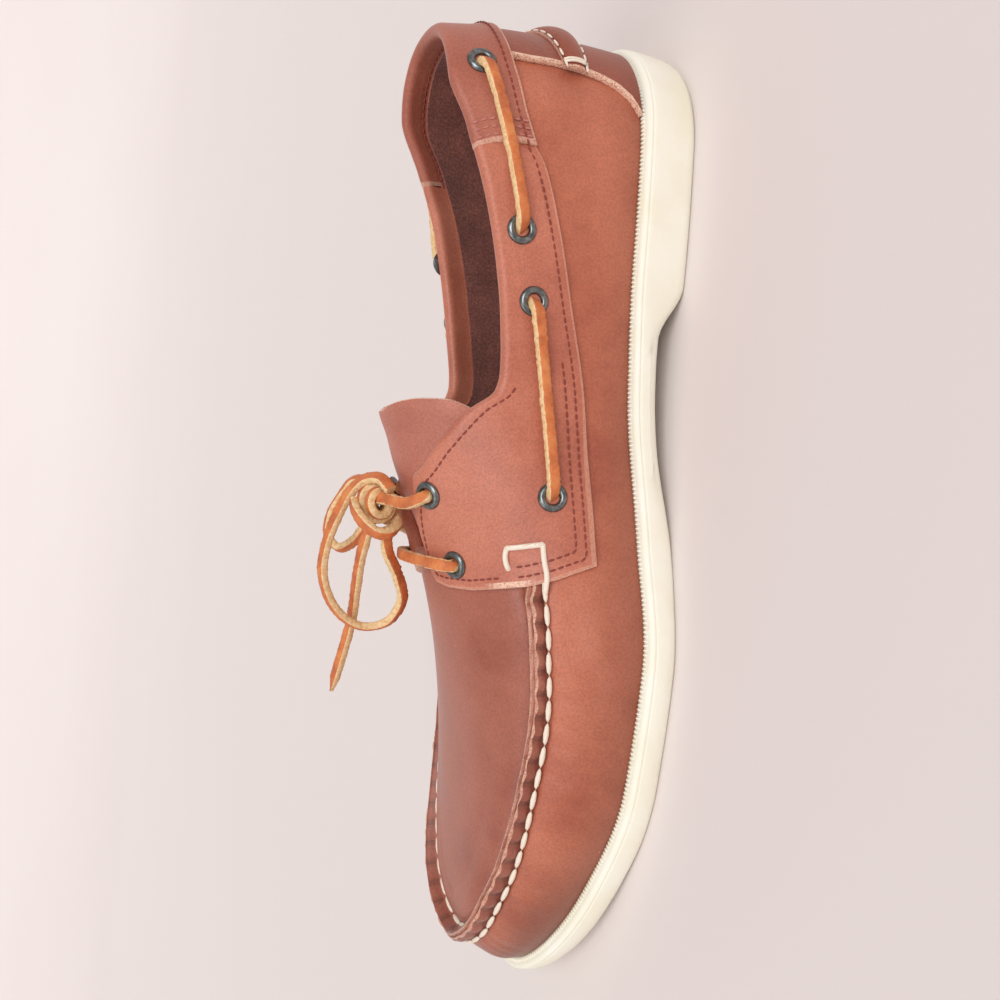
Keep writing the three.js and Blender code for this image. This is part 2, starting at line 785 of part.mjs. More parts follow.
// The origin is on the ground under the middle of the shoe, its bow left out of the measure.
const extent = new THREE.Box3();
shoe.children
  .filter((piece) => !(piece.name in BOW) && piece.name !== "bow_knot")
  .forEach((piece) => extent.expandByObject(piece, true));
const middle = extent.getCenter(new THREE.Vector3());
shoe.position.set(-middle.x, -middle.y, -extent.min.z);

export default shoe;
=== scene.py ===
# A left boat shoe: a moccasin-front leather upper with a rawhide lace round its collar, on a
# moulded cup sole. The pieces follow one another as a maker puts the shoe together, after the
# camera and the laces. Shapes are worked out in the last's own millimetres: x across the shoe,
# y backwards from the heel's back, z up from the ground.

import math

import bmesh
import bpy
import numpy as np
from mathutils import Matrix, Vector


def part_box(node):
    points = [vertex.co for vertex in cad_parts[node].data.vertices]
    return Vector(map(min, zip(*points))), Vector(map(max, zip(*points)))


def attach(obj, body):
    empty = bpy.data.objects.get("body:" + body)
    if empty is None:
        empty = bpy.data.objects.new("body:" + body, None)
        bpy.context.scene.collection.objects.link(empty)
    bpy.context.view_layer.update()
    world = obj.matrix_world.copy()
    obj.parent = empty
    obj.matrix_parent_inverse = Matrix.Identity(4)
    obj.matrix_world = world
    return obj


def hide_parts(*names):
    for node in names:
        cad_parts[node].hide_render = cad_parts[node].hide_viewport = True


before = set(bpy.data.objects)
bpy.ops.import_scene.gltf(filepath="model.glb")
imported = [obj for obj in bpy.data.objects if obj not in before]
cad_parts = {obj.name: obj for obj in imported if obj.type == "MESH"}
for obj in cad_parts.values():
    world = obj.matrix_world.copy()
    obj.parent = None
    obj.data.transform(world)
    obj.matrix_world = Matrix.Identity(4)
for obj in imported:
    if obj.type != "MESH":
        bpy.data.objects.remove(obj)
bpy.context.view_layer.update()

# ---------------------------------------------------------------- camera, light and floor
# A pale studio table under two large soft lamps. The camera looks down on the shoe's outer side
# and is rolled, so that the toe points down in the picture.


def linear(code):
    """An sRGB hex value as the linear colour that a shader takes."""
    channels = [int(code[i:i + 2], 16) / 255 for i in (1, 3, 5)]
    return (*[c / 12.92 if c <= 0.04045 else ((c + 0.055) / 1.055) ** 2.4 for c in channels], 1.0)


def add(tree, kind, inputs=None, stops=None, **settings):
    """Adds a node with its settings, its values or links by socket, and a ramp's stops.

    A node that is given as a value stands for its first output.
    """
    made = tree.nodes.new(kind)
    for name, value in settings.items():
        setattr(made, name, value)
    for name, value in (inputs or {}).items():
        if isinstance(value, bpy.types.Node):
            value = value.outputs[0]
        if isinstance(value, bpy.types.NodeSocket):
            tree.links.new(value, made.inputs[name])
        else:
            made.inputs[name].default_value = value
    if stops:
        ramp = made.color_ramp.elements
        while len(ramp) < len(stops):
            ramp.new(1.0)
        for element, (position, shade) in zip(ramp, stops):
            element.position = position
            element.color = linear(shade) if isinstance(shade, str) else (shade, shade, shade, 1.0)
    return made


def material(name):
    """A new material with an empty tree."""
    made = bpy.data.materials.new(name)
    made.use_nodes = True
    made.node_tree.nodes.clear()
    return made, made.node_tree


AIM = Vector((-0.0068, 0.0019, 0.035))
CAMERA_DISTANCE = 0.3323
CAMERA_AZIMUTH = math.radians(1.32)
CAMERA_ELEVATION = math.radians(23.0)
CAMERA_ROLL = math.radians(-84.34)

back = Vector((
    math.cos(CAMERA_ELEVATION) * math.cos(CAMERA_AZIMUTH),
    math.cos(CAMERA_ELEVATION) * math.sin(CAMERA_AZIMUTH),
    math.sin(CAMERA_ELEVATION),
))
level = Vector((-math.sin(CAMERA_AZIMUTH), math.cos(CAMERA_AZIMUTH), 0))
right = Matrix.Rotation(CAMERA_ROLL, 3, back) @ level
camera = bpy.data.objects.new("camera", bpy.data.cameras.new("camera"))
camera.data.lens = 36.83
camera.data.clip_start = 0.01
camera.matrix_world = (
    Matrix.Translation(AIM + back * CAMERA_DISTANCE)
    @ Matrix((right, back.cross(right), back)).transposed().to_4x4()
)
bpy.context.collection.objects.link(camera)
bpy.context.scene.camera = camera
bpy.context.scene.view_settings.view_transform = "Standard"


def softbox(name, toward, strength, spread):
    """A far, even lamp: its light comes from a wide patch of sky around one direction."""
    data = bpy.data.lights.new(name, "SUN")
    data.energy = strength
    data.angle = math.radians(spread)
    made = bpy.data.objects.new(name, data)
    turn = Vector(toward).to_track_quat("Z", "Y").to_matrix().to_4x4()
    made.matrix_world = Matrix.Translation(Vector(toward)) @ turn
    bpy.context.collection.objects.link(made)


softbox("softbox_beside_heel", (0.8, 0.2, 0.75), 1.64, 38)
softbox("softbox_over_toe", (0.35, -0.7, 0.9), 0.58, 50)

world = bpy.data.worlds.new("studio")
world.use_nodes = True
world.node_tree.nodes["Background"].inputs["Color"].default_value = linear("#FBF6F6")
world.node_tree.nodes["Background"].inputs["Strength"].default_value = 0.5
bpy.context.scene.world = world

# The table is a disc whose far rim sweeps up, so that no horizon shows behind the shoe.
SWEEP = [(2.2 + 0.35 * k, 0.028 * k**2) for k in range(12)]  # (radius, height) of each rim
floor_mesh = bpy.data.meshes.new("floor")
floor_net = bmesh.new()
spokes = 64
rims = [[floor_net.verts.new((r * math.cos(2 * math.pi * k / spokes),
                              r * math.sin(2 * math.pi * k / spokes), z)) for k in range(spokes)]
        for r, z in SWEEP]
floor_net.faces.new(rims[0])
for inner_rim, outer_rim in zip(rims, rims[1:]):
    for k in range(spokes):
        j = (k + 1) % spokes
        floor_net.faces.new((inner_rim[k], outer_rim[k], outer_rim[j], inner_rim[j]))
floor_net.to_mesh(floor_mesh)
floor_net.free()
floor_mesh.shade_smooth()
floor_mesh.set_sharp_from_angle(angle=math.radians(60))
floor = bpy.data.objects.new("floor", floor_mesh)
bpy.context.collection.objects.link(floor)
# Painted board: an even matt white with a trace of pink.
painted_board, tree = material("matt_painted_board")
mottle = add(tree, "ShaderNodeTexNoise", {"Scale": 9.0, "Detail": 3.0})
tone = add(tree, "ShaderNodeValToRGB", {"Fac": mottle},
           stops=[(0.3, "#E6DDDA"), (0.7, "#E9E1DE")])
add(tree, "ShaderNodeOutputMaterial", {"Surface": add(tree, "ShaderNodeBsdfPrincipled", {
    "Base Color": tone, "Roughness": 0.9, "Specular IOR Level": 0.1,
})})
floor_mesh.materials.append(painted_board)

# ---------------------------------------------------------------- the last
# The wooden form that the leather is drawn over. It isn't a piece of the shoe: its outline, its
# heights and its sections give every piece its place.

LENGTH = 300  # outsole, heel to toe
HEEL_ROUND = 36
TOE_ROUND = 62
FEATHER_INSET = 4  # width of the sole's lip outside the upper
WALL = 2.0  # the upper's leather and lining
LEATHER = 1.8  # an overlay's leather
GAP = 0.3
SIDES = {"lateral": 1, "medial": -1}


def table(columns, *rows):
    """A short table as one array for each named column."""
    return dict(zip(columns.split(), np.array(rows, float).T))


OUTLINE = table(
    "along lateral medial",
    (0, 33, 33), (30, 36.5, 35), (66, 39.5, 35.5), (114, 41, 32), (156, 49.5, 34),
    (192, 57.5, 42), (225, 55.5, 49), (258, 46, 47.5), (300, 34, 37),
)
SOLE_TREAD = table(
    "along height",
    (0, 2.5), (12, 0), (78, 0), (95, 7), (126, 5), (165, 0), (236, 0), (270, 3), (300, 9),
)
SOLE_TOP = table(
    "along height",
    (0, 17.5), (36, 17), (75, 16.6), (108, 14.5), (150, 11), (186, 9), (228, 9.2), (264, 12),
    (300, 18),
)
LAST = table(
    "along ridge fullness lean",
    (0, 104, 3.0, 0), (20, 104, 2.8, 5), (36, 104, 2.7, 6), (75, 99, 2.5, 9), (114, 84, 2.3, 9),
    (126, 80.5, 2.2, 5), (141, 74.5, 2.1, 1), (168, 61, 2.0, 0), (198, 50.5, 2.1, 0),
    (234, 42, 2.4, 0), (270, 38.3, 2.7, 0), (300, 37.5, 2.7, 0),
)
TOE_BOX_ROUND = 30
RIDGE_POWER = 2.4
HEEL_POWER = 2.2
TOE_POWER = 2.3
HEEL_LEAN = 7
HEEL_LEAN_LENGTH = 70
BACK_HEIGHT = 78
LEAN_SHOULDER = 20


def smooth(rows, column):
    """A curve through a table's rows that never overshoots them (monotone cubic)."""
    x, y = rows["along"], rows[column]
    slope = np.diff(y) / np.diff(x)
    tangent = np.zeros(len(x))
    tangent[0], tangent[-1] = slope[0], slope[-1]
    for i in range(1, len(x) - 1):
        if slope[i - 1] * slope[i] > 0:
            before, after = x[i] - x[i - 1], x[i + 1] - x[i]
            first, second = 2 * after + before, after + 2 * before
            tangent[i] = (first + second) / (first / slope[i - 1] + second / slope[i])

    def at(along):
        along = np.clip(along, x[0], x[-1])
        i = np.clip(np.searchsorted(x, along, side="right") - 1, 0, len(x) - 2)
        span = x[i + 1] - x[i]
        t = (along - x[i]) / span
        u = 1 - t
        return (
            y[i] * (1 + 2 * t) * u * u + tangent[i] * span * t * u * u
            + y[i + 1] * t * t * (3 - 2 * t) - tangent[i + 1] * span * t * t * u
        )

    return at


lateral_half, medial_half = [smooth(OUTLINE, name) for name in SIDES]
tread_height = smooth(SOLE_TREAD, "height")
sole_top = smooth(SOLE_TOP, "height")
ridge_height = smooth(LAST, "ridge")
fullness = smooth(LAST, "fullness")
medial_lean = smooth(LAST, "lean")


def superellipse(t, power):
    """1 at t = 0, falling round a quarter turn to 0 at t = 1."""
    return (1 - np.clip(t, 0, 1) ** power) ** (1 / power)


def half_width(along, side, inset):
    """The outline's half width on one side (+1 lateral, -1 medial), moved in by inset."""
    half = np.where(np.asarray(side) > 0, lateral_half(along), medial_half(along))
    heel = superellipse((inset + HEEL_ROUND - along) / HEEL_ROUND, HEEL_POWER)
    toe = superellipse((along - LENGTH + inset + TOE_ROUND) / TOE_ROUND, TOE_POWER)
    return (half - inset) * heel * toe


def leaned(along, x, z):
    """Leans the heel's back forward and the inner wall in, the more the higher a point is."""
    lift = np.maximum(0, z - sole_top(along)) / (BACK_HEIGHT - sole_top(0))
    fade = np.maximum(0, 1 - along / HEEL_LEAN_LENGTH) ** 2
    inwards = np.where(x < 0, medial_lean(along) * lift**2 * np.minimum(1, -x / LEAN_SHOULDER), 0)
    return np.stack(np.broadcast_arrays(x + inwards, -(along + HEEL_LEAN * fade * lift**2), z), -1)


def section(along, offset=0.0):
    """Foot, rise, fullness and both half widths of the form at a place along."""
    inset = FEATHER_INSET - offset
    foot = sole_top(along) + GAP
    drop = superellipse((along - (LENGTH - inset - TOE_BOX_ROUND)) / TOE_BOX_ROUND, RIDGE_POWER)
    rise = (ridge_height(along) + offset - foot) * drop
    return foot, rise, fullness(along), half_width(along, 1, inset), half_width(along, -1, inset)


def form_point(along, angle, offset=0.0):
    """A point by its angle round the section: 0 at the outer foot, pi at the inner one."""
    foot, rise, power, lateral, medial = section(along, offset)
    across = np.abs(np.cos(angle)) ** (2 / power)
    up = np.abs(np.sin(angle)) ** (2 / power)
    x = np.where(np.cos(angle) >= 0, lateral * across, -medial * across)
    return leaned(along, x, foot + rise * up)


def side_point(along, height, side, offset=0.0):
    """A point of the form's side by its height."""
    foot, rise, power, lateral, medial = section(along, offset)
    across = superellipse((height - foot) / rise, power)
    return leaned(along, np.where(np.asarray(side) > 0, lateral, -medial) * across, height)


def over_plan(x, along):
    """The form's point over a place of the plan."""
    foot, rise, power, lateral, medial = section(along)
    half = np.maximum(np.where(x >= 0, lateral, medial), 1e-6)
    return leaned(along, x, foot + rise * superellipse(np.abs(x) / half, power))


def side_angle(along, height, side):
    """The angle round the section of a point of the side."""
    foot, rise, power, _, _ = section(along)
    up = np.clip((height - foot) / rise, 0, 1)
    lateral = np.arcsin(up ** (power / 2))
    return np.where(np.asarray(side) > 0, lateral, math.pi - lateral)


def unit(vectors):
    """Vectors scaled to length 1."""
    return vectors / np.maximum(np.linalg.norm(vectors, axis=-1, keepdims=True), 1e-9)


def outwards(along, height, side):
    """The direction straight out of the form's side."""
    at = side_point(along, height, side)
    forward = side_point(along + 1.0, height, side) - at
    upward = side_point(along, height + 1.0, side) - at
    normal = unit(np.cross(upward, forward))
    return normal * np.where(normal[..., :1] * side < 0, -1, 1)


AXIS_X = -4.27  # the form's axis stands this far to the inner side of the frame's middle
HEEL_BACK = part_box("outsole")[1].y * 1000


def in_metres(points):
    """Points of the last's frame in the part's own frame."""
    return (np.asarray(points, float) + (AXIS_X, HEEL_BACK, 0)) / 1000


def piece(name, points, faces, look, marks=None, crisp=50):
    """A mesh object at the origin. marks holds one number for each face under each name."""
    mesh = bpy.data.meshes.new(name)
    mesh.from_pydata(in_metres(points).tolist(), [], [list(map(int, face)) for face in faces])
    for mark, values in (marks or {}).items():
        layer = mesh.attributes.new(mark, "FLOAT", "FACE")
        layer.data.foreach_set("value", np.asarray(values, np.float32))
    net = bmesh.new()
    net.from_mesh(mesh)
    bmesh.ops.remove_doubles(net, verts=net.verts, dist=2e-6)
    bmesh.ops.dissolve_degenerate(net, edges=net.edges, dist=1e-6)
    bmesh.ops.delete(net, geom=[v for v in net.verts if not v.link_faces], context="VERTS")
    bmesh.ops.recalc_face_normals(net, faces=net.faces)
    net.to_mesh(mesh)
    net.free()
    mesh.shade_smooth()
    mesh.set_sharp_from_angle(angle=math.radians(crisp))
    mesh.materials.append(look)
    made = bpy.data.objects.new(name, mesh)
    bpy.context.collection.objects.link(made)
    return made


# ---------------------------------------------------------------- the rawhide lace
# A square-cut thong of latigo leather, 3.5 mm wide. It runs through the eyelets of each side,
# crosses the instep twice and is tied on top in a bow: only the bow's loops and ends are free.

LACE_WIDE = 3.5
LACE_THICK = 2.7
LACE_CORNER = 0.75
LACE_STEP = 0.8
LACE_TIP = 6.0  # length of the slanted cut at a free end
HAND_CUT, NICKS = 0.05, 0.03  # how unevenly it is cut, by station and by corner
CURVE_STEPS = 24  # points between two given ones before a curve is resampled
EYELETS = table(
    "along height",
    (23.3, 67.7), (70.6, 53.3), (90, 47.5), (145, 37), (147.5, 65.8), (167.2, 56),
)

# Latigo leather, waxed and cut square: one face is smooth orange grain, the cut sides and the
# flesh side are pale and fibrous, and the corners are rubbed.
rawhide, tree = material("waxed_latigo_leather")
place = add(tree, "ShaderNodeTexCoord").outputs["Object"]
fibre = add(tree, "ShaderNodeTexNoise", {"Vector": place, "Scale": 900.0, "Detail": 6.0,
                                         "Roughness": 0.7})
patch = add(tree, "ShaderNodeTexNoise", {"Vector": place, "Scale": 170.0, "Detail": 3.0})
grain_tone = add(tree, "ShaderNodeValToRGB", {"Fac": patch},
                 stops=[(0.3, "#AE4A1B"), (0.5, "#CF6528"), (0.72, "#DF8342")])
flesh_tone = add(tree, "ShaderNodeValToRGB", {"Fac": fibre},
                 stops=[(0.3, "#D29A62"), (0.5, "#ECC994"), (0.7, "#F6E0B8")])
grain_side = add(tree, "ShaderNodeAttribute", attribute_name="grain").outputs["Fac"]
worn = add(tree, "ShaderNodeMath", {0: fibre, 1: 0.22}, operation="MULTIPLY")
kept = add(tree, "ShaderNodeMath", {0: grain_side, 1: worn}, operation="SUBTRACT",
           use_clamp=True)
two_sides = add(tree, "ShaderNodeMix", {0: kept, 6: flesh_tone,
                                        7: grain_tone}, data_type="RGBA")
nap = add(tree, "ShaderNodeBump", {"Height": fibre, "Strength": 0.7,
                                   "Distance": 0.0003})
add(tree, "ShaderNodeOutputMaterial", {"Surface": add(tree, "ShaderNodeBsdfPrincipled", {
    "Base Color": two_sides.outputs[2], "Roughness": 0.62, "Normal": nap,
})})


def steps_of(line):
    """The distance from each point of a polyline to the next."""
    return np.linalg.norm(np.diff(line, axis=0), axis=1)


def run_along(line):
    """The distance run along a polyline at each of its points."""
    return np.concatenate([[0], np.cumsum(steps_of(line))])


def sampled(line, run, wanted):
    """The points, or the directions, that a polyline has at the wanted distances."""
    return np.stack([np.interp(wanted, run, column) for column in line.T], -1)


def even(line, step):
    """A polyline resampled at even steps."""
    run = run_along(line)
    return sampled(line, run, np.linspace(0, run[-1], max(3, round(run[-1] / step) + 1)))


def through(points, step):
    """A smooth curve through given points (centripetal Catmull-Rom), at even steps."""
    points = np.asarray(points, float)
    points = np.vstack([2 * points[0] - points[1], points, 2 * points[-1] - points[-2]])
    knots = np.concatenate([[0], np.cumsum(steps_of(points) ** 0.5)])
    fine = []
    for i in range(1, len(points) - 2):
        t = np.linspace(knots[i], knots[i + 1], CURVE_STEPS, endpoint=False)[:, None]
        p, k = points[i - 1:i + 3], knots[i - 1:i + 3]

        def between(low, high, a, b):
            return ((k[high] - t) * a + (t - k[low]) * b) / (k[high] - k[low])

        first, middle, last = [between(j, j + 1, p[j], p[j + 1]) for j in range(3)]
        fine.append(between(1, 2, between(0, 2, first, middle), between(1, 3, middle, last)))
    return even(np.vstack([*fine, points[-2:-1]]), step)


def lace_section():
    """The thong's rounded rectangle (across, up), and which of its sides are the grain."""
    corner = LACE_CORNER
    ring, grain = [], []
    for quarter, (sx, sy) in enumerate([(1, 1), (-1, 1), (-1, -1), (1, -1)]):
        for k in range(3):
            turn = math.pi / 2 * (quarter + k / 2)
            ring.append((
                sx * (LACE_WIDE / 2 - corner) + corner * math.cos(turn),
                sy * (LACE_THICK / 2 - corner) + corner * math.sin(turn),
            ))
            grain.append(1.0 if (quarter, k) in [(0, 1), (0, 2), (1, 0)] else 0.0)
    return np.array(ring), grain


def tube_faces(rows, size, first=0):
    """The faces of a skin over rows of closed rings."""
    r, c = np.meshgrid(np.arange(rows - 1), np.arange(size), indexing="ij")
    a, b = r * size + c, r * size + (c + 1) % size
    return (np.stack([a, b, b + size, a + size], -1).reshape(-1, 4) + first).tolist()


rng = np.random.default_rng(11)


def thong(name, centres, faces_to, point=0.0, look=rawhide):
    """The lace along a line of centres, its grain side turned towards faces_to at each one."""
    ring, grain = lace_section()
    tangent = unit(np.gradient(centres, axis=0))
    across = unit(np.cross(faces_to, tangent))
    up = np.cross(tangent, across)
    count, sides = len(centres), len(ring)
    size = np.ones(count)
    if point:
        size = np.clip((count - 0.5 - np.arange(count)) * LACE_STEP / point, 0.12, 1)
    rough = 1 + HAND_CUT * rng.standard_normal((count, 1))
    rough = rough + NICKS * rng.standard_normal((count, sides))
    rings = (
        centres[:, None]
        + across[:, None] * (ring[None, :, :1] * (size[:, None] * rough)[..., None])
        + up[:, None] * (ring[None, :, 1:] * (0.5 + 0.5 * size[:, None] * rough)[..., None])
    )
    faces = tube_faces(count, sides)
    marks = grain * (count - 1) + [0.0] * (2 * sides)
    last, centre = (count - 1) * sides, count * sides
    for i in range(sides):
        j = (i + 1) % sides
        faces += [(j, i, centre), (last + i, last + j, centre + 1)]
    points = np.vstack([rings.reshape(-1, 3), centres[:1], centres[-1:]])
    return piece(name, points, faces, look, {"grain": marks}, crisp=70)


def fit(made, slot, *nodes):
    """Fixes a piece to the shoe and hides the construction solids it stands for. Its slot is not used.
    """
    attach(made, "root")
    if nodes:
        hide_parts(*nodes)
    return made


def upright(points):
    """Listed points [x, along, height] in the last's frame."""
    return np.array([(x, -along, height) for x, along, height in points], float)


KNOT_AT = upright([(-3, 152.5, 76)])[0]
BOW = {
    "bow_loop_front": [
        (6, 148, 74.5), (2, 145, 77), (-4, 146, 80.5), (-9, 151, 83.5), (-12, 159, 86),
        (-15, 168, 87.5), (-18, 177, 87), (-20.5, 186, 83), (-22, 192, 77), (-22.5, 194.5, 70),
        (-20, 192, 63), (-15, 184, 60.5), (-9, 175, 65), (-4, 167.5, 70.5), (0, 160.5, 73),
    ],
    "bow_loop_rear": [
        (-10.5, 150, 76), (-14, 146.5, 78), (-19, 147, 80), (-24, 152, 82), (-28, 159, 84),
        (-30, 166, 83.5), (-28, 169.5, 80), (-23, 167, 77), (-17, 162.5, 75.5), (-11, 158, 74.5),
    ],
    "lace_end_front": [
        (-6.5, 160, 76.5), (-12.5, 170, 76.5), (-20, 181, 75), (-26.5, 192, 73.5),
        (-30.5, 203, 74), (-33, 212, 75), (-35, 219, 75.5),
    ],
    "lace_end_side": [
        (-9, 157.5, 70.5), (-14, 158.5, 67), (-20, 160.5, 60.5), (-26.5, 164, 51),
        (-31.5, 168.5, 41), (-35.5, 173.5, 32.5), (-38.5, 178, 26.5),
    ],
}


LOOP_TURN = (0.62, 0, 0.26)  # how far the loops' grain side turns towards the shoe's outer side


def wrap_turn(tilt, wide, high, shift):
    """One turn of the lace round the knot, as a closed line of centres."""
    turn = np.linspace(0, 2 * math.pi, 40)
    ring = np.stack([
        shift + tilt * np.sin(turn), wide * np.cos(turn), high * np.sin(turn) + 0.4 * np.cos(turn),
    ], -1)
    return KNOT_AT + ring, ring * (0, 1, 1)


def joined(name, parts):
    """Several meshes of one look as a single piece."""
    net = bmesh.new()
    for part in parts:
        net.from_mesh(part.data)
    mesh = bpy.data.meshes.new(name)
    net.to_mesh(mesh)
    net.free()
    mesh.materials.append(parts[0].data.materials[0])
    mesh.shade_smooth()
    for part in parts:
        bpy.data.objects.remove(part)
    made = bpy.data.objects.new(name, mesh)
    bpy.context.collection.objects.link(made)
    return made


knot_turns = [
    thong("turn", *wrap_turn(1.4, 4.9, 4.2, -3.6)),
    thong("turn", *wrap_turn(-1.8, 5.2, 4.4, 0.0)),
    thong("turn", *wrap_turn(1.0, 3.7, 3.3, 3.4)),
]
KNOT_STRAPS = [  # the lace through the turns, and its lap over the roots of the loops
    [(-9, 155, 74.5), (-4, 152.5, 77), (2, 151, 76.5), (7, 151, 74)],
    [(-6, 153, 82.5), (-1, 156, 82.5), (2.5, 159.5, 80), (4, 161.5, 76.5), (3.5, 161, 72.5),
     (0, 158.5, 69.5), (-5, 155.5, 69.5)],
    [(-8, 158, 80), (-5, 160.5, 77), (-3, 161.5, 73.5), (-3, 159, 69.5), (-6, 154, 69)],
]
for route in KNOT_STRAPS:
    strap = through(upright(route), LACE_STEP)
    knot_turns.append(thong("turn", strap, strap - KNOT_AT + (2.0, 0, 2.0)))
knot = fit(joined("knot", knot_turns), "rawhide_lace", "bow_knot")

for name, route in BOW.items():
    line = through(upright(route), LACE_STEP)
    if "loop" in name:
        outside = unit(line - line.mean(0)) + LOOP_TURN
    else:
        outside = np.tile((0.35, 0, 1.0), (len(line), 1))
    tip = LACE_TIP if "end" in name else 0.0
    cord = fit(thong(name + "_lace", line, outside, point=tip), "rawhide_lace", name)


def stand_off(along, height, side, distance):
    """A point standing off the form's side by a clear distance."""
    return side_point(along, height, side) + outwards(along, height, side) * distance


LACE_TWIST = 0.28
BAR_SAG = 1.1
# How far the lace stands off the form along a bar, by the distance from its nearer eyelet.
BAR_LIFT = table("along lift", (0, 0.9), (1.2, 3.0), (3.5, 5.1), (7, 5.0), (16, 4.4), (40, 4.1))
bar_lift = smooth(BAR_LIFT, "lift")


def lace_bar(name, rear, front, side, node):
    """The lace lying on the channel between two eyelets of a side."""
    start, end = [np.array((EYELETS["along"][i], EYELETS["height"][i])) for i in (rear, front)]
    span = np.linalg.norm(end - start)
    t = np.linspace(0, 1, round(span / LACE_STEP))
    along, height = [start[k] + (end[k] - start[k]) * t for k in (0, 1)]
    height = height - BAR_SAG * np.sin(math.pi * t)
    lift = bar_lift(np.minimum(t, 1 - t) * span)[:, None]
    line = stand_off(along, height, side, lift)
    # The thong lies a little twisted, so that its pale upper side shows.
    out = outwards(along, height, side)
    return fit(thong(name, line, out - (0, 0, LACE_TWIST)), "rawhide_lace", node)


for side_name, side in SIDES.items():
    for bar, (rear, front) in {"rear": (0, 1), "front": (2, 3)}.items():
        lace_bar(f"side_lace_{side_name}_{bar}", rear, front, side, f"lace_bar_{side_name}_{bar}")


INSTEP_MIDDLE = 20  # height of the middle that the crossings curve round
IN_EYELET, OVER_EYELET = 0.9, 3.4  # how far the lace stands off the form at an eyelet


def lace_crossing(name, eyelet, along, route, node):
    """The lace over the instep from one eyelet to its neighbour on the other side."""
    place, height = EYELETS["along"][eyelet], EYELETS["height"][eyelet]
    ends = [[stand_off(place, height, side, lift) for lift in (IN_EYELET, OVER_EYELET)]
            for side in SIDES.values()]
    over = [form_point(along, math.radians(angle), clear) for angle, clear in route]
    line = through([*ends[0], *over, *reversed(ends[1])], LACE_STEP)
    up = unit(line - (0, -along, INSTEP_MIDDLE))
    return fit(thong(name, line, up), "rawhide_lace", node)


lace_crossing("instep_lace_front", 5, 168, [(67, 5.6), (76, 5.0), (90, 4.6), (104, 5.0), (113, 5.6)],
              "lace_crossing_front")
lace_crossing("instep_lace_top", 4, 151, [(70, 6.7), (80, 5.9), (90, 5.2), (100, 5.9), (110, 6.7)],
              "lace_crossing_top")

# ---------------------------------------------------------------- outsole
# One moulded rubber cup sole: a smooth wall with a faint parting line, a ribbed lip
# that the upper meets, and a tread of wavy razor-cut ribs inside a flat rim.

# Non-marking natural rubber, pressed in a mould: matt ivory, faintly blotched, soft at edges.
ivory_rubber, tree = material("moulded_ivory_rubber")
place = add(tree, "ShaderNodeTexCoord").outputs["Object"]
cloud = add(tree, "ShaderNodeTexNoise", {"Vector": place, "Scale": 60.0, "Detail": 4.0})
mould = add(tree, "ShaderNodeTexNoise", {"Vector": place, "Scale": 2200.0, "Detail": 2.0})
cream = add(tree, "ShaderNodeValToRGB", {"Fac": cloud},
            stops=[(0.3, "#F3F0DB"), (0.6, "#F8F6E7"), (0.8, "#FAF9ED")])
texture = add(tree, "ShaderNodeBump", {"Height": mould, "Strength": 0.25,
                                       "Distance": 0.0001})
add(tree, "ShaderNodeOutputMaterial", {"Surface": add(tree, "ShaderNodeBsdfPrincipled", {
    "Base Color": cream, "Roughness": 0.52, "Normal": texture,
    "Subsurface Weight": 0.08, "Subsurface Radius": (0.002, 0.0016, 0.001),
})})

SOLE_RAILS = [  # (inset, from tread or top, up)
    (6.2, "tread", 1.7), (5.8, "tread", 0.25), (5.4, "tread", 0.0), (2.6, "tread", 0.0),
    (1.7, "tread", 0.25), (1.0, "tread", 0.9), (0.5, "tread", 2.0), (0.2, "tread", 3.2),
    (0.05, "top", -5.0), (0.08, "top", -3.6), (0.14, "top", -2.6), (0.2, "top", -2.2),
    (0.42, "top", -1.95), (0.42, "top", -1.8), (0.28, "top", -1.55), (0.34, "top", -1.2),
    (0.6, "top", -0.8), (1.1, "top", -0.25), (1.8, "top", 0.0), (3.3, "top", 0.05),
    (4.6, "top", -0.1), (8.0, "top", -0.2),
]
BOTTOM_COLUMNS = 12
TOP_COLUMNS = 5
HEEL_STATIONS, SHANK_STEP, TOE_STATIONS = 34, 2.5, 44
heel_places = HEEL_ROUND * (1 - np.cos(np.linspace(0, math.pi / 2, HEEL_STATIONS)))
shank_places = np.arange(HEEL_ROUND + SHANK_STEP, LENGTH - TOE_ROUND - 1, SHANK_STEP)
toe_places = LENGTH - TOE_ROUND * (1 - np.sin(np.linspace(0, math.pi / 2, TOE_STATIONS)))
SOLE_PLACES = np.concatenate([heel_places, shank_places, toe_places])


def sole_rail(inset, base, up, side):
    """The points of one edge of the sole's section, from heel to toe."""
    along = inset + SOLE_PLACES * (LENGTH - 2 * inset) / LENGTH
    height = tread_height(along) if base == "tread" else sole_top(along)
    return np.stack([side * half_width(along, side, inset), -along, height + up], -1)


lateral_rails = [sole_rail(*rail, 1) for rail in SOLE_RAILS]
medial_rails = [sole_rail(*rail, -1) for rail in SOLE_RAILS]


def across(first, last, count):
    """Columns strictly between two edges."""
    return [first + (last - first) * k / (count + 1) for k in range(1, count + 1)]


ring = [
    *lateral_rails, *across(lateral_rails[-1], medial_rails[-1], TOP_COLUMNS),
    *reversed(medial_rails), *across(medial_rails[0], lateral_rails[0], BOTTOM_COLUMNS),
]
rings = np.stack(ring, 1)


sole_points = [rings.reshape(-1, 3)]
sole_faces = tube_faces(*rings.shape[:2])

# The tread's ribs run across the sole in a wave, with a razor cut between each two.
RIB_PITCH = 5.2
RIB_WIDE = 4.4
RIB_WAVE = 1.6
RIB_WAVELENGTH = 9.0
RIB_INSET = 7.2  # the flat rim's width
SHORTEST_RIB = 8
RIB_STEP = 1.6
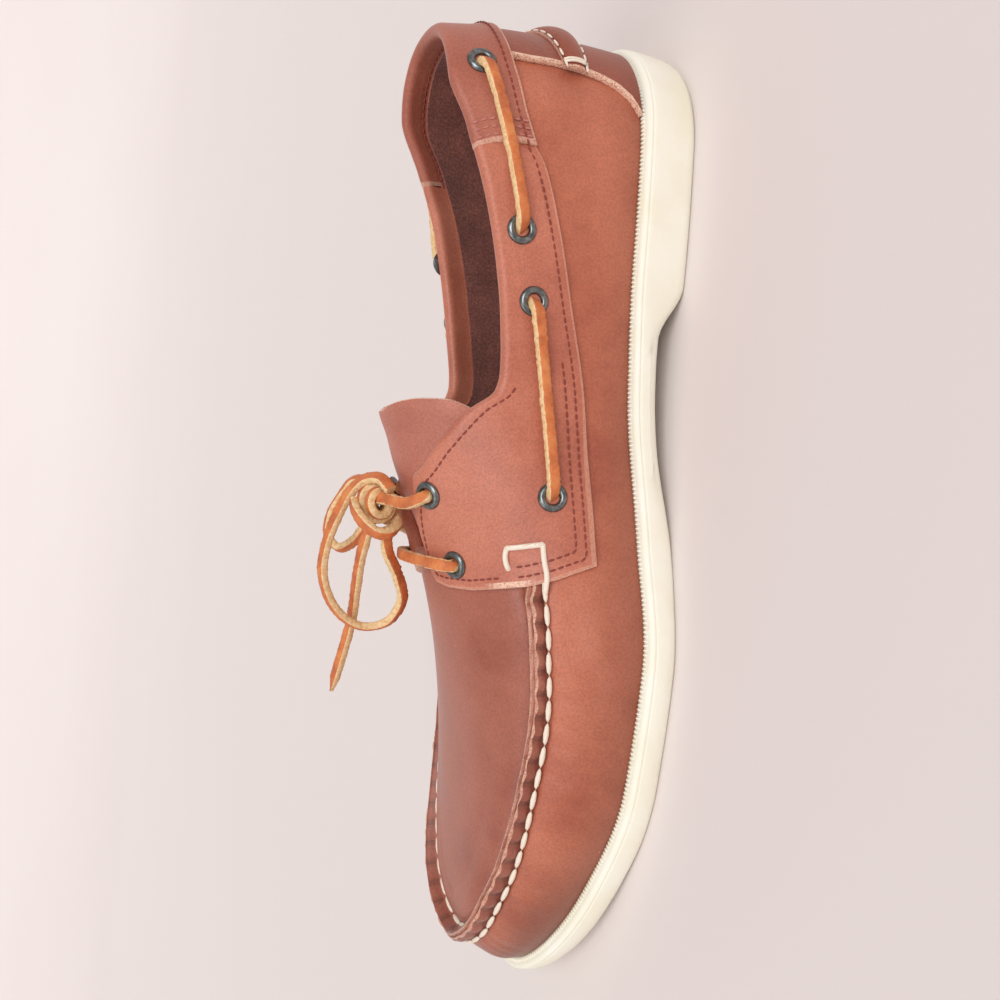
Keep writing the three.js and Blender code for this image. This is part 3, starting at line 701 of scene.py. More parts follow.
# The rib's section: share of its half width, and height over the tread.
RIB_SECTION = [(-1, 1.9), (-1, 0.25), (-0.88, 0), (0.88, 0), (1, 0.25), (1, 1.9)]
for middle in np.arange(12.5, 290, RIB_PITCH):
    reach = [side * half_width(middle, side, RIB_INSET) for side in (-1, 1)]
    length = reach[1] - reach[0]
    if length < SHORTEST_RIB:
        continue
    x = np.linspace(*reach, max(6, round(length / RIB_STEP)))
    wave = middle + RIB_WAVE * np.sin(2 * math.pi * x / RIB_WAVELENGTH)
    rib = []
    for edge, up in RIB_SECTION:
        along = wave + edge * RIB_WIDE / 2
        rib.append(np.stack([x, -along, tread_height(along) + up], -1))
    start = sum(len(block) for block in sole_points)
    last = start + (len(x) - 1) * len(rib)
    sole_faces += tube_faces(len(x), len(rib), start)
    sole_faces += [list(range(row, row + len(rib))) for row in (start, last)]
    sole_points.append(np.stack(rib, 1).reshape(-1, 3))
outsole = piece("outsole_rubber", np.vstack(sole_points), sole_faces, ivory_rubber, crisp=55)
fit(outsole, "sole_rubber", "outsole")

# ---------------------------------------------------------------- leather for the upper
# Oiled full-grain side leather, drum-dyed reddish brown. All its pieces come off one hide, so
# they share one recipe: a fine pebbled grain, a wax bloom, pale hairline scuffs, raw cut edges.


def leather(name, dark, middle, light, raw="#E6B79C", grain=1.0, shine=0.5, scuffs=1.0):
    """Leather in three shades, with its raw colour where the mark "cut" is set."""
    made, tree = material(name)
    place = add(tree, "ShaderNodeTexCoord").outputs["Object"]
    hide = add(tree, "ShaderNodeTexNoise", {"Vector": place, "Scale": 38.0, "Detail": 5.0,
                                            "Roughness": 0.55})
    fine = add(tree, "ShaderNodeTexNoise", {"Vector": place, "Scale": 1500.0, "Detail": 3.0})
    pebble = add(tree, "ShaderNodeTexVoronoi", {"Vector": place, "Scale": 1050.0},
                 feature="SMOOTH_F1")
    pores = add(tree, "ShaderNodeTexVoronoi", {"Vector": place, "Scale": 520.0})
    tone = add(tree, "ShaderNodeValToRGB", {"Fac": hide},
               stops=[(0.25, dark), (0.5, middle), (0.78, light)])
    # Darker pores and furrows, a darkening where the mark is set (partly a real burnish, partly
    # painted shade), and painted shade near the sole.
    speck = add(tree, "ShaderNodeMapRange", {"Value": pores, 1: 0.0, 2: 0.16,
                                             3: 0.8, 4: 1.0})
    furrow = add(tree, "ShaderNodeMapRange", {"Value": fine, 1: 0.36, 2: 0.62,
                                              3: 0.86, 4: 1.07})
    # Where the mark is set the colour is darkened by up to half: partly a real burnish, partly painted
    # shade.
    burnish_and_shade_mark = add(tree, "ShaderNodeAttribute", attribute_name="burnish_and_shade").outputs["Fac"]
    burnish_and_shade = add(tree, "ShaderNodeMapRange", {"Value": burnish_and_shade_mark, 3: 1.0, 4: 0.5})
    # Painted shade: the leather is painted darker the nearer it lies to the sole, by its height.
    height = add(tree, "ShaderNodeSeparateXYZ", {0: place}).outputs["Z"]
    painted_shade_near_sole = add(tree, "ShaderNodeMapRange", {"Value": height, 1: 0.010, 2: 0.032, 3: 0.69, 4: 1.0},
                 interpolation_type="SMOOTHSTEP")
    deep = speck
    for layer in (furrow, burnish_and_shade, painted_shade_near_sole):
        deep = add(tree, "ShaderNodeMath", {0: deep, 1: layer}, operation="MULTIPLY")
    freckled = add(tree, "ShaderNodeMix", {0: 1.0, 6: tone, 7: deep},
                   data_type="RGBA", blend_type="MULTIPLY")
    # Hairline scuffs: a long thin noise, kept only where it peaks and only in a few places.
    stretched = add(tree, "ShaderNodeMapping", {"Vector": place, "Rotation": (0.5, 0.3, 0.6),
                                                "Scale": (60.0, 900.0, 900.0)})
    hair = add(tree, "ShaderNodeTexNoise", {"Vector": stretched, "Scale": 1.0,
                                            "Detail": 1.0})
    where = add(tree, "ShaderNodeTexNoise", {"Vector": place, "Scale": 55.0, "Detail": 1.0})
    thin = add(tree, "ShaderNodeMapRange", {"Value": hair, 1: 0.77, 2: 0.82})
    some = add(tree, "ShaderNodeMapRange", {"Value": where, 1: 0.55, 2: 0.68,
                                            4: 0.5 * scuffs})
    scuff = add(tree, "ShaderNodeMath", {0: thin, 1: some},
                operation="MULTIPLY")
    scuffed = add(tree, "ShaderNodeMix", {0: scuff, 6: freckled.outputs[2],
                                          7: linear("#E3B3A0")}, data_type="RGBA")
    fibres = add(tree, "ShaderNodeTexNoise", {"Vector": place, "Scale": 1800.0, "Detail": 5.0})
    raw_tone = add(tree, "ShaderNodeValToRGB", {"Fac": fibres},
                   stops=[(0.3, middle), (0.46, raw), (0.7, "#F4D9C4")])
    cut = add(tree, "ShaderNodeAttribute", attribute_name="cut").outputs["Fac"]
    colour = add(tree, "ShaderNodeMix", {0: cut, 6: scuffed.outputs[2],
                                         7: raw_tone}, data_type="RGBA")
    skin = add(tree, "ShaderNodeMath", {0: pebble, 1: 0.75,
                                        2: fine}, operation="MULTIPLY_ADD")
    relief = add(tree, "ShaderNodeBump", {"Height": skin, "Strength": 0.32 * grain,
                                          "Distance": 0.00022})
    bloom = add(tree, "ShaderNodeMapRange", {"Value": hide, 1: 0.3, 2: 0.7,
                                             3: shine - 0.06, 4: shine + 0.08})
    add(tree, "ShaderNodeOutputMaterial", {"Surface": add(tree, "ShaderNodeBsdfPrincipled", {
        "Base Color": colour.outputs[2], "Roughness": bloom,
        "Normal": relief, "Specular IOR Level": 0.5,
        "Sheen Weight": 0.1, "Sheen Roughness": 0.5,
    })})
    return made


# ---------------------------------------------------------------- vamp and quarters
# The wall of the upper, lasted over the form and turned in at the sole. Its top edge is hidden
# under the collar's wrap and the facings, and in front it is pinched up into the moccasin seam.

side_leather = leather("oiled_side_leather", "#A4533C", "#BD6C50", "#CC7A5E", shine=0.45)

TOPLINE = table(
    "along lateral medial",
    (-10, 77, 77), (14, 77, 77), (27, 76.5, 75.5), (42, 71, 67.5), (63, 63.5, 58.5),
    (80, 58.8, 54), (97, 55.4, 51), (112, 53.8, 49), (116, 54.5, 50), (122.5, 61, 55.5),
    (133.5, 67.6, 60), (144.5, 72.0, 65), (150, 90, 90),
)
THROAT = table("along half", (133, 17.5), (144, 14.4), (156, 10), (161, 9))
topline = {side: smooth(TOPLINE, name) for name, side in SIDES.items()}
throat_half = smooth(THROAT, "half")

# The moccasin seam seen from above, from the outer facing round the toe to the inner one.
SEAM = np.array([
    (40.4, 163), (41.4, 171.6), (43.5, 184.2), (43.9, 202.8), (42.0, 220.6), (36.9, 243),
    (27.6, 265.3), (15.2, 282.4), (-2.5, 290.5), (-17.5, 283.0), (-29, 265.6), (-34.7, 243),
    (-36.1, 220.6), (-33.5, 202.8), (-29.7, 184.2), (-27.3, 171.6), (-26.2, 163),
])
SEAM_START = 168.0
STITCH_PITCH = 6.7
STATION = 1.1
COLLAR_END = 133  # from here on forwards the top edge runs along the throat
FACING_END = 163
TURNED_BELOW = 1.8  # the overlays begin to turn over this far below the collar's line


def between_stitches(run):
    """0 at each moccasin stitch hole and 1 halfway to the next, by the distance run."""
    return (0.5 - 0.5 * np.cos(2 * math.pi * run / STITCH_PITCH))[:, None]


def outline_walk(step):
    """The foot of the upper seen from above (x, along), from the heel round the toe and back."""
    round_end = 0.5 - 0.5 * np.cos(np.linspace(0, math.pi, 900))
    along = FEATHER_INSET + (LENGTH - 2 * FEATHER_INSET) * round_end
    lateral = np.stack([half_width(along, 1, FEATHER_INSET), along], -1)
    medial = np.stack([-half_width(along, -1, FEATHER_INSET), along], -1)[::-1]
    return even(np.vstack([lateral, medial[1:]]), step)


def smoothstep(value, low, high):
    """0 below low, 1 above high, and a soft rise between."""
    t = np.clip((value - low) / (high - low), 0, 1)
    return t * t * (3 - 2 * t)


def edge_angle(along, side, lowered=0.0, widened=0.0, seam=True):
    """The local angle of the upper's top edge: the collar, then the throat, then the seam."""
    foot, rise, power, lateral, medial = section(along)
    half = lateral if side > 0 else medial
    collar = side_angle(along, topline[side](along) - lowered, 1)
    reach = throat_half(along) + widened
    if seam:
        target = np.interp(along, (FACING_END, 171), (40.4, 41.2) if side > 0 else (26.2, 27.2))
        reach = reach + (target - reach) * smoothstep(along, 161, SEAM_START)
    share = np.clip(reach / np.maximum(half, 1e-6), 0, 1)
    throat = np.arccos(share ** (power / 2))
    return np.where(along < COLLAR_END, collar, np.minimum(collar, throat))


def by_side(along, local, side, offset=0.0):
    """A point by its local angle: 0 at the foot and a quarter turn at the ridge."""
    return form_point(along, np.where(np.asarray(side) > 0, local, math.pi - local), offset)


def spaced(line, distances):
    """Points of a polyline at distances along it; negative ones count back from its end."""
    run = run_along(line)
    wanted = np.where(np.signbit(distances), run[-1] + distances, distances)
    return sampled(line, run, np.clip(wanted, 0, run[-1]))


def point_at(line, distance):
    """One point of a polyline at a distance along it."""
    return spaced(line, np.array([distance]))[0]


def grid_normals(grid, ring=False):
    """Unit normals of a grid of points round the shoe, pointing out of it."""
    if ring:
        by_row = np.roll(grid, -1, 0) - np.roll(grid, 1, 0)
    else:
        by_row = np.gradient(grid, axis=0)
    normal = unit(np.cross(by_row, np.gradient(grid, axis=1)))
    inside = grid * (0, 1, 0) + (0, 0, 25.0)
    return normal if np.mean(np.sum(normal * (grid - inside), -1)) > 0 else -normal


EDGE_SWELL = 0.14  # a cut edge bulges by this share of its thickness
EDGE_RAILS = (0.22, 0.78)  # and its two middle lines lie at these shares of it


def slab(name, outer, inner, look, ring=False, raw=(1, 1, 1, 1), rim=0.0, marks=None, crisp=50):
    """A sheet between two grids [station, column], with rounded edges.

    raw says how pale the edges are cut: low column, last station, high column, first station.
    None leaves a side without an edge, where its points lie on one another and are welded.
    rim carries that paleness onto the outer face's border cells, and marks holds more numbers
    for the outer face's cells under each name.
    """
    rows, columns = outer.shape[:2]
    size = rows * columns
    r, c = np.meshgrid(np.arange(rows if ring else rows - 1), np.arange(columns - 1),
                       indexing="ij")
    a, b = r * columns + c, ((r + 1) % rows) * columns + c
    top = np.stack([a, b, b + 1, a + 1], -1).reshape(-1, 4)
    faces = [top, top[:, ::-1] + size]
    border = np.zeros(r.shape)
    if rim:
        for side, cells in enumerate([np.s_[:, :1], np.s_[-1:], np.s_[:, -1:], np.s_[:1]]):
            border[cells] = np.maximum(border[cells], rim * (raw[side] or 0))
    cut = [border.ravel(), np.zeros(len(top))]
    away = np.zeros_like(outer)
    away[:, 0] += unit(outer[:, 0] - outer[:, 1])
    away[:, -1] += unit(outer[:, -1] - outer[:, -2])
    if not ring:
        away[0] += unit(outer[0] - outer[1])
        away[-1] += unit(outer[-1] - outer[-2])
    away = unit(away).reshape(-1, 3)
    station = np.arange(rows) * columns
    column = np.arange(columns)
    if ring:
        loops = [(station, np.full(rows, raw[0])), (station + columns - 1, np.full(rows, raw[2]))]
    else:
        sides = [station[:-1], size - columns + column[:-1], (station + columns - 1)[:0:-1],
                 column[:0:-1]]
        paleness = np.repeat([-1 if each is None else each for each in raw],
                             [len(side) for side in sides])
        loops = [(np.concatenate(sides), paleness)]
    points = [outer.reshape(-1, 3), inner.reshape(-1, 3)]
    start = 2 * size
    for loop, paleness in loops:
        over, under = points[0][loop], points[1][loop]
        thick = np.linalg.norm(over - under, axis=1, keepdims=True)
        for share in EDGE_RAILS:
            points.append(over + (under - over) * share + away[loop] * thick * EDGE_SWELL)
        count = len(loop)
        lines = [loop, start + np.arange(count), start + count + np.arange(count), loop + size]
        kept = paleness >= 0
        for near, far in zip(lines, lines[1:]):
            strip = np.stack([near, np.roll(near, -1), np.roll(far, -1), far], -1)
            faces.append(strip[kept])
            cut.append(paleness[kept])
        start += 2 * count
    layers = {"cut": np.concatenate(cut)}
    for mark, cells in (marks or {}).items():
        layer = np.zeros(len(layers["cut"]))
        layer[:len(top)] = np.ravel(cells)
        layers[mark] = np.maximum(layer, layers.get(mark, 0))
    return piece(name, np.vstack(points), np.vstack(faces), look, layers, crisp)


walk = outline_walk(STATION)[:-1]
in_front = walk[:, 1] > SEAM_START
seam_fine = through(np.pad(SEAM, ((0, 0), (0, 1))), 0.4)[:, :2]
seam_start, seam_end = [np.argmax(seam_fine[::flip, 1] > SEAM_START) for flip in (1, -1)]
seam_fine = seam_fine[seam_start:len(seam_fine) - seam_end]
front_count = in_front.sum()
seam_plan = even(seam_fine, steps_of(seam_fine).sum() / (front_count - 1))[:front_count]
seam_run = run_along(over_plan(*seam_plan.T))

JUST_OUTSIDE = 0.06  # a line up the steep foot starts this far out, to begin at its lowest point
# The columns nearest to the top edge, at fixed distances back from it; the last one lies on it.
FROM_SEAM = -np.array([8.6, 7.2, 5.9, 4.8, 3.9, 3.1, 2.4, 1.8, 1.3, 0.9, 0.55, 0.25, 0])
SEAM_STRIP = 9.6
LOW_COLUMNS = 25
LINE_POINTS = 260  # points of each line up the wall before it is resampled
wall = []
seam_index = np.cumsum(in_front) - 1
for i, (x, along) in enumerate(walk):
    side = 1 if i <= len(walk) / 2 else -1
    if in_front[i]:
        target = seam_plan[seam_index[i]]
        share = (np.linspace(0, 1, LINE_POINTS) ** 4)[:, None]
        start = np.array((x, along)) - unit(target - (x, along)) * JUST_OUTSIDE
        plan = start + (target - start) * share
        line = over_plan(plan[:, 0], plan[:, 1])
    else:
        local = np.linspace(0, 1, LINE_POINTS) * edge_angle(along, side, lowered=1.6, widened=2.0)
        line = by_side(along, local, side)
    length = steps_of(line).sum()
    low = np.linspace(0, 1, LOW_COLUMNS + 1)[:-1] ** 1.15 * (length - SEAM_STRIP)
    wall.append(spaced(line, np.concatenate([low, FROM_SEAM])))
wall = np.stack(wall)
wall_normals = grid_normals(wall, ring=True)

# Soft creases: (along, local degrees) of both ends, side, depth and half width.
CREASES = table(
    "along angle to_along to_angle side depth half",
    (176, 24, 197, 20, 1, 0.5, 4.5), (184, 13, 206, 17, 1, 0.35, 4), (112, 20, 138, 12, 1, 0.5, 7),
    (70, 22, 60, 12, 1, 0.4, 7), (236, 22, 250, 30, 1, 0.3, 5), (180, 22, 200, 18, -1, 0.5, 5),
    (120, 22, 140, 14, -1, 0.5, 7), (226, 16, 246, 14, 1, 0.3, 6), (34, 20, 40, 10, 1, 0.35, 6),
)


CREASE_BEND = 2.0  # degrees that a crease's middle bends up by
SWELL_SHARE = 0.45  # height of the swell beside a crease, against the crease's depth
SWELL_AT = 1.7  # how far out the swell lies, in half widths


def creased(grid):
    """How far the soft troughs, and the low swell on both sides of each, move a surface."""
    moved = np.zeros(grid.shape[:2])
    for k in range(len(CREASES["along"])):
        row = {name: values[k] for name, values in CREASES.items()}
        t = np.linspace(0, 1, 14)
        bend = CREASE_BEND * np.sin(math.pi * t)
        line = by_side(row["along"] + (row["to_along"] - row["along"]) * t,
                       np.radians(row["angle"] + (row["to_angle"] - row["angle"]) * t + bend),
                       row["side"])
        apart = np.linalg.norm(grid[..., None, :] - line, axis=-1)
        fade = np.sin(math.pi * (0.08 + 0.84 * t))
        near = np.argmin(apart, -1)
        close = np.min(apart, -1) / row["half"]
        trough = np.exp(-close**2) - SWELL_SHARE * np.exp(-((close - SWELL_AT) ** 2) * 1.6)
        moved -= row["depth"] * fade[near] * trough
    return moved


# The lasting turns the foot in, and between the moccasin stitches the leather swells.
from_foot = np.linalg.norm(wall - wall[:, :1], axis=-1)
from_seam = np.linalg.norm(wall - wall[:, -1:], axis=-1)
at_seam = np.where(in_front, smoothstep(walk[:, 1], 166, 172), 0)[:, None]
run = np.zeros(len(walk))
run[in_front] = seam_run
pulse = between_stitches(run)
swell = (0.05 + 0.2 * pulse) * np.exp(-(((from_seam - 3.6) / 2.6) ** 2))
pinch = (0.7 - 0.3 * pulse) * np.exp(-((from_seam / 0.9) ** 2))
# Fine gathers run out from the seam, because the vamp is drawn in to the smaller plug.
gather = rng.standard_normal(len(walk))
gather = gather + 0.5 * (np.roll(gather, 1) + np.roll(gather, -1))
gathers = 0.08 * gather[:, None] * np.exp(-(((from_seam - 7) / 6.5) ** 2))
wall_lift = (
    creased(wall)
    - 0.15 * np.exp(-((from_foot / 0.8) ** 2))
    + 0.3 * np.exp(-(((from_foot - 5) / 3.5) ** 2))
    + at_seam * (swell - pinch + gathers)
)
wall_outer = wall + wall_normals * wall_lift[..., None]
wall_inner = wall - wall_normals * WALL
# The toe is darkened, the more the lower it lies under the seam: partly a real burnish, partly painted
# shade towards the sole.
toe_burnish_and_shade = smoothstep(walk[:, 1], 236, 290)[:, None] * (0.3 + 0.6 * smoothstep(from_seam, 2, 14))
upper = slab("vamp_and_quarters", wall_outer, wall_inner, side_leather, ring=True, raw=(0, 0, 0, 0),
             marks={"burnish_and_shade": toe_burnish_and_shade[:, 1:]})
fit(upper, "upper_leather", "upper")

# ---------------------------------------------------------------- plug and moccasin seam
# The plug is the flat top of the toe. Its edge and the vamp's edge stand up together in a ridge,
# left raw on top, and a thick waxed thread goes through both at the ridge's foot.

plug_leather = leather("smooth_plug_leather", "#944C3A", "#A75F4A", "#B36D5A", grain=0.7, shine=0.42,
                       scuffs=1.4)

# The ridge across the seam: distance inwards from the stitches, height as a share of the ridge's
# and how raw it is.
RIDGE = table(
    "across height raw",
    (-0.1, -1.3, 0), (0.3, -0.35, 0), (0.5, 0.25, 0), (0.66, 0.52, 0), (0.8, 0.74, 0),
    (0.95, 0.9, 0), (1.15, 1.0, 0.7), (1.45, 1.04, 0.5), (1.65, 0.86, 0.05), (1.85, 0.9, 0.3),
    (2.15, 1.05, 0.6), (2.5, 1.02, 0.0), (2.9, 0.9, 0), (3.2, 0.62, 0), (3.45, 0.3, 0),
    (3.8, 0.02, 0), (4.3, -0.12, 0), (5.0, 0.0, 0), (6.2, 0.1, 0), (8.0, 0.13, 0),
    (10.5, 0.1, 0), (14.0, 0.05, 0),
)
RIDGE_HEIGHT = table(
    "along height", (160, 0.7), (171, 0.8), (175, 2.6), (195, 2.9), (230, 3.6), (270, 4.8), (300, 5.2),
)
MEDIAL_RIDGE = 0.72  # the inner side's ridge is drawn lower as far as the toe
ridge_tall = smooth(RIDGE_HEIGHT, "height")
CENTRE_LINE = {"from": (6, 165), "to": (0.3, 264)}
count = len(seam_plan) // 2 * 2 + 1
seam_even = even(seam_fine, steps_of(seam_fine).sum() / (count - 1))
to_toe = (np.minimum(np.arange(count), np.arange(count)[::-1]) / (count // 2))[:, None]
centre_from, centre_to = np.array(CENTRE_LINE["from"]), np.array(CENTRE_LINE["to"])
centres = centre_from + (centre_to - centre_from) * to_toe
PLUG_COLUMNS = 16
RIDGE_COLUMNS = len(RIDGE["across"])
RIDGE_WIDTH = 14
PLUG_LEATHER = 1.7
RAGGED = 0.34  # how unevenly the raw top is cut
RIDGE_LEAN = 0.3
plug_plan = []
for start, target in zip(seam_even, centres):
    reach = np.linalg.norm(target - start)
    distances = np.concatenate([
        RIDGE["across"],
        RIDGE_WIDTH + (reach - RIDGE_WIDTH) * np.linspace(0, 1, PLUG_COLUMNS + 1)[1:]])
    plug_plan.append(start + (target - start) * (distances / reach)[:, None])
plug_x, plug_along = np.moveaxis(np.stack(plug_plan), -1, 0)
plug_base = over_plan(plug_x, plug_along)
plug_normals = unit(np.cross(
    over_plan(plug_x + 0.4, plug_along) - over_plan(plug_x - 0.4, plug_along),
    over_plan(plug_x, plug_along - 0.4) - over_plan(plug_x, plug_along + 0.4),
))
plug_pulse = between_stitches(run_along(plug_base[:, 0]))
ragged = rng.standard_normal((count, RIDGE_COLUMNS))
ragged = (ragged + np.roll(ragged, 1, 0) + np.roll(ragged, -1, 0)) / 3
lower = (seam_even[:, 0] < 0) * (1 - smoothstep(seam_even[:, 1], 245, 285)) * (1 - MEDIAL_RIDGE)
profile = RIDGE["height"] * (ridge_tall(seam_even[:, 1]) * (1 - lower))[:, None]
profile = profile + (RIDGE["raw"] > 0) * RAGGED * ragged
inner_column = int(np.argmax(RIDGE["across"] > 3.4))  # the ridge's foot on the plug
in_band = np.exp(-(((RIDGE["across"] - 0.75) / 0.45) ** 2))
outward_bulge = 1.3 * plug_pulse**0.7 * in_band
profile = np.pad(profile, ((0, 0), (0, PLUG_COLUMNS)))
# The ridge leans a little inwards, and between the stitches its outer face swells out.
toward = unit(np.gradient(plug_base, axis=1))
lean_in = np.zeros_like(profile)
lean_in[:, :RIDGE_COLUMNS] = -outward_bulge
lean_in += RIDGE_LEAN * np.maximum(profile, 0)
plug_outer = plug_base + plug_normals * profile[..., None] + toward * lean_in[..., None]
plug_inner = plug_base - plug_normals * PLUG_LEATHER
for face in (plug_outer, plug_inner):
    face[:, -1] = (face[:, -1] + face[::-1, -1]) / 2
# The ridge's band below its raw top is darkened, most at each stitch hole: partly a real burnish,
# partly painted shade in the band and in the creases at the holes.
raw_cells, burnished_and_shaded_cells = np.zeros((2, count - 1, RIDGE_COLUMNS + PLUG_COLUMNS - 1))
raw_cells[:, :RIDGE_COLUMNS] = RIDGE["raw"] * (0.75 + 0.25 * ragged[1:])
burnished_and_shaded_cells[:, :inner_column] = (
    (0.25 + 0.65 * (1 - plug_pulse[1:]) ** 3) * (RIDGE["raw"][:inner_column] == 0))
plug = slab("plug_and_ridge", plug_outer, plug_inner, plug_leather, raw=(0, 0, None, 0),
            marks={"cut": np.clip(raw_cells, 0, 1), "burnish_and_shade": burnished_and_shaded_cells})
fit(plug, "upper_leather")

# The thick moccasin stitches are waxed polyester thread, hand sewn: each is a fat spindle that
# narrows into its holes. The rows of stitches are laid by one tree of nodes, the tie and the heel
# band's end turns as plain tubes.


def thread(name, pale, deep, twist=1600.0):
    """Sewing thread in two shades, its twist running round it."""
    made, tree = material(name)
    place = add(tree, "ShaderNodeTexCoord").outputs["Object"]
    strands = add(tree, "ShaderNodeTexWave", {"Vector": place, "Scale": twist, "Distortion": 1.5},
                  bands_direction="DIAGONAL")
    tone = add(tree, "ShaderNodeValToRGB", {"Fac": strands.outputs["Fac"]},
               stops=[(0.15, deep), (0.6, pale)])
    relief = add(tree, "ShaderNodeBump", {"Height": strands.outputs["Fac"], "Strength": 0.4,
                                          "Distance": 0.0001})
    add(tree, "ShaderNodeOutputMaterial", {"Surface": add(tree, "ShaderNodeBsdfPrincipled", {
        "Base Color": tone, "Roughness": 0.55,
        "Normal": relief,
    })})
    return made


# Waxed braided polyester: pale cream with a pink cast, a rope-like twist and a dull wax gloss. The
# fine threads of the lockstitched rows are of the same kind, dyed dark red and dusty pink.
cream_thread = thread("waxed_cream_thread", "#FDF4E6", "#E6D2B8")
tonal_thread = thread("fine_tonal_thread", "#9A4638", "#743026", 3000.0)
pink_thread = thread("fine_pink_thread", "#D58F80", "#A85B4E", 3000.0)


def seam_tree():
    """Nodes that lay stitches along edges, each turned to its own outward direction."""
    tree = bpy.data.node_groups.new("stitches_along_a_seam", "GeometryNodeTree")
    face = tree.interface
    face.new_socket("Seam", in_out="INPUT", socket_type="NodeSocketGeometry")
    for name, value in {"Pitch": 0.003, "Stitch": 0.0024, "Thread": 0.0006, "Flatness": 0.8,
                        "Lift": 0.0, "Wander": 0.0}.items():
        face.new_socket(name, in_out="INPUT", socket_type="NodeSocketFloat").default_value = value
    face.new_socket("Seed", in_out="INPUT", socket_type="NodeSocketInt")
    face.new_socket("Thread Material", in_out="INPUT", socket_type="NodeSocketMaterial")
    face.new_socket("Stitches", in_out="OUTPUT", socket_type="NodeSocketGeometry")
    given = add(tree, "NodeGroupInput").outputs
    line = add(tree, "GeometryNodeMeshToCurve", {"Mesh": given["Seam"]})
    holes = add(tree, "GeometryNodeResampleCurve", {"Curve": line,
                                                    "Length": given["Pitch"]}, mode="LENGTH")
    outward = add(tree, "GeometryNodeInputNamedAttribute", {"Name": "outwards"},
                  data_type="FLOAT_VECTOR")
    lift = add(tree, "ShaderNodeVectorMath", {0: outward, "Scale": given["Lift"]}, operation="SCALE")
    away = add(tree, "ShaderNodeMath", {0: given["Wander"], 1: -1.0}, operation="MULTIPLY")
    jitter = add(tree, "FunctionNodeRandomValue", {
        2: away, 3: given["Wander"], "Seed": given["Seed"],
        "ID": add(tree, "GeometryNodeInputIndex"),
    }).outputs[1]
    slip = add(tree, "ShaderNodeCombineXYZ", {"X": jitter, "Z": jitter})
    shift = add(tree, "ShaderNodeVectorMath", {0: lift, 1: slip},
                operation="ADD")
    raised = add(tree, "GeometryNodeSetPosition", {"Geometry": holes,
                                                   "Offset": shift})
    tangent = add(tree, "GeometryNodeInputTangent")
    along = add(tree, "FunctionNodeAlignRotationToVector", {"Vector": tangent}, axis="X")
    facing_out = add(tree, "FunctionNodeAlignRotationToVector", {
        "Rotation": along, "Vector": outward}, axis="Z", pivot_axis="X")
    bead = add(tree, "GeometryNodeMeshUVSphere", {"Segments": 8, "Rings": 6, "Radius": 0.5})
    flat = add(tree, "ShaderNodeMath", {0: given["Thread"], 1: given["Flatness"]},
               operation="MULTIPLY")
    size = add(tree, "ShaderNodeCombineXYZ", {"X": given["Stitch"], "Y": given["Thread"],
                                              "Z": flat})
    placed = add(tree, "GeometryNodeInstanceOnPoints", {
        "Points": raised, "Instance": bead,
        "Rotation": facing_out, "Scale": size})
    real = add(tree, "GeometryNodeRealizeInstances", {"Geometry": placed})
    rounded = add(tree, "GeometryNodeSetShadeSmooth", {"Geometry": real})
    dyed = add(tree, "GeometryNodeSetMaterial", {"Geometry": rounded,
                                                 "Material": given["Thread Material"]})
    add(tree, "NodeGroupOutput", {0: dyed})
    return tree


stitches_along = seam_tree()


def sew(name, seams, look, pitch, stitch, thick, flatness=0.8, lift=0.0, wander=0.0, seed=1,
        slot="seam_thread"):
    """Stitches along seams, each a line of points with the outward direction at each point."""
    points, edges, outward = [], [], []
    for line, out in seams:
        start = len(points)
        points += in_metres(line).tolist()
        outward += np.broadcast_to(out, np.shape(line)).tolist()
        edges += [(start + k, start + k + 1) for k in range(len(line) - 1)]
    mesh = bpy.data.meshes.new(name)
    mesh.from_pydata(points, edges, [])
    layer = mesh.attributes.new("outwards", "FLOAT_VECTOR", "POINT")
    layer.data.foreach_set("vector", np.array(outward, np.float32).ravel())
    drawn = bpy.data.objects.new(name + "_line", mesh)
    bpy.context.collection.objects.link(drawn)
    nodes = drawn.modifiers.new("stitches", "NODES")
    nodes.node_group = stitches_along
    values = {"Pitch": pitch / 1000, "Stitch": stitch / 1000, "Thread": thick / 1000,
              "Flatness": flatness, "Lift": lift / 1000, "Wander": wander / 1000, "Seed": seed,
              "Thread Material": look}
    for item in stitches_along.interface.items_tree:
        if item.name in values:
            nodes[item.identifier] = values[item.name]
    evaluated = drawn.evaluated_get(bpy.context.evaluated_depsgraph_get())
    made = bpy.data.objects.new(name, bpy.data.meshes.new_from_object(evaluated))
    bpy.data.objects.remove(drawn)
    bpy.context.collection.objects.link(made)
    if not made.data.materials:
        made.data.materials.append(look)
    return fit(made, slot)


def between_holes(line, out, pitch, offset=0.0):
    """A seam resampled so that a whole number of stitches fits, starting at an offset."""
    run = run_along(line)
    wanted = np.arange(offset, run[-1], pitch / 4)
    return sampled(line, run, wanted), sampled(out, run, wanted)


STITCH_UP, STITCH_OUT = 1.45, 0.6  # where the outer row's middle lies off the plug's edge
seam_line = plug_base[:, 0] + plug_normals[:, 0] * STITCH_UP - toward[:, 0] * STITCH_OUT
seam_out = unit(plug_normals[:, 0] * 0.75 - toward[:, 0])
inner_line = plug_base[:, inner_column] + plug_normals[:, inner_column] * 0.2 + toward[:, 0] * 0.5
inner_out = unit(plug_normals[:, inner_column] * 0.75 + toward[:, inner_column])
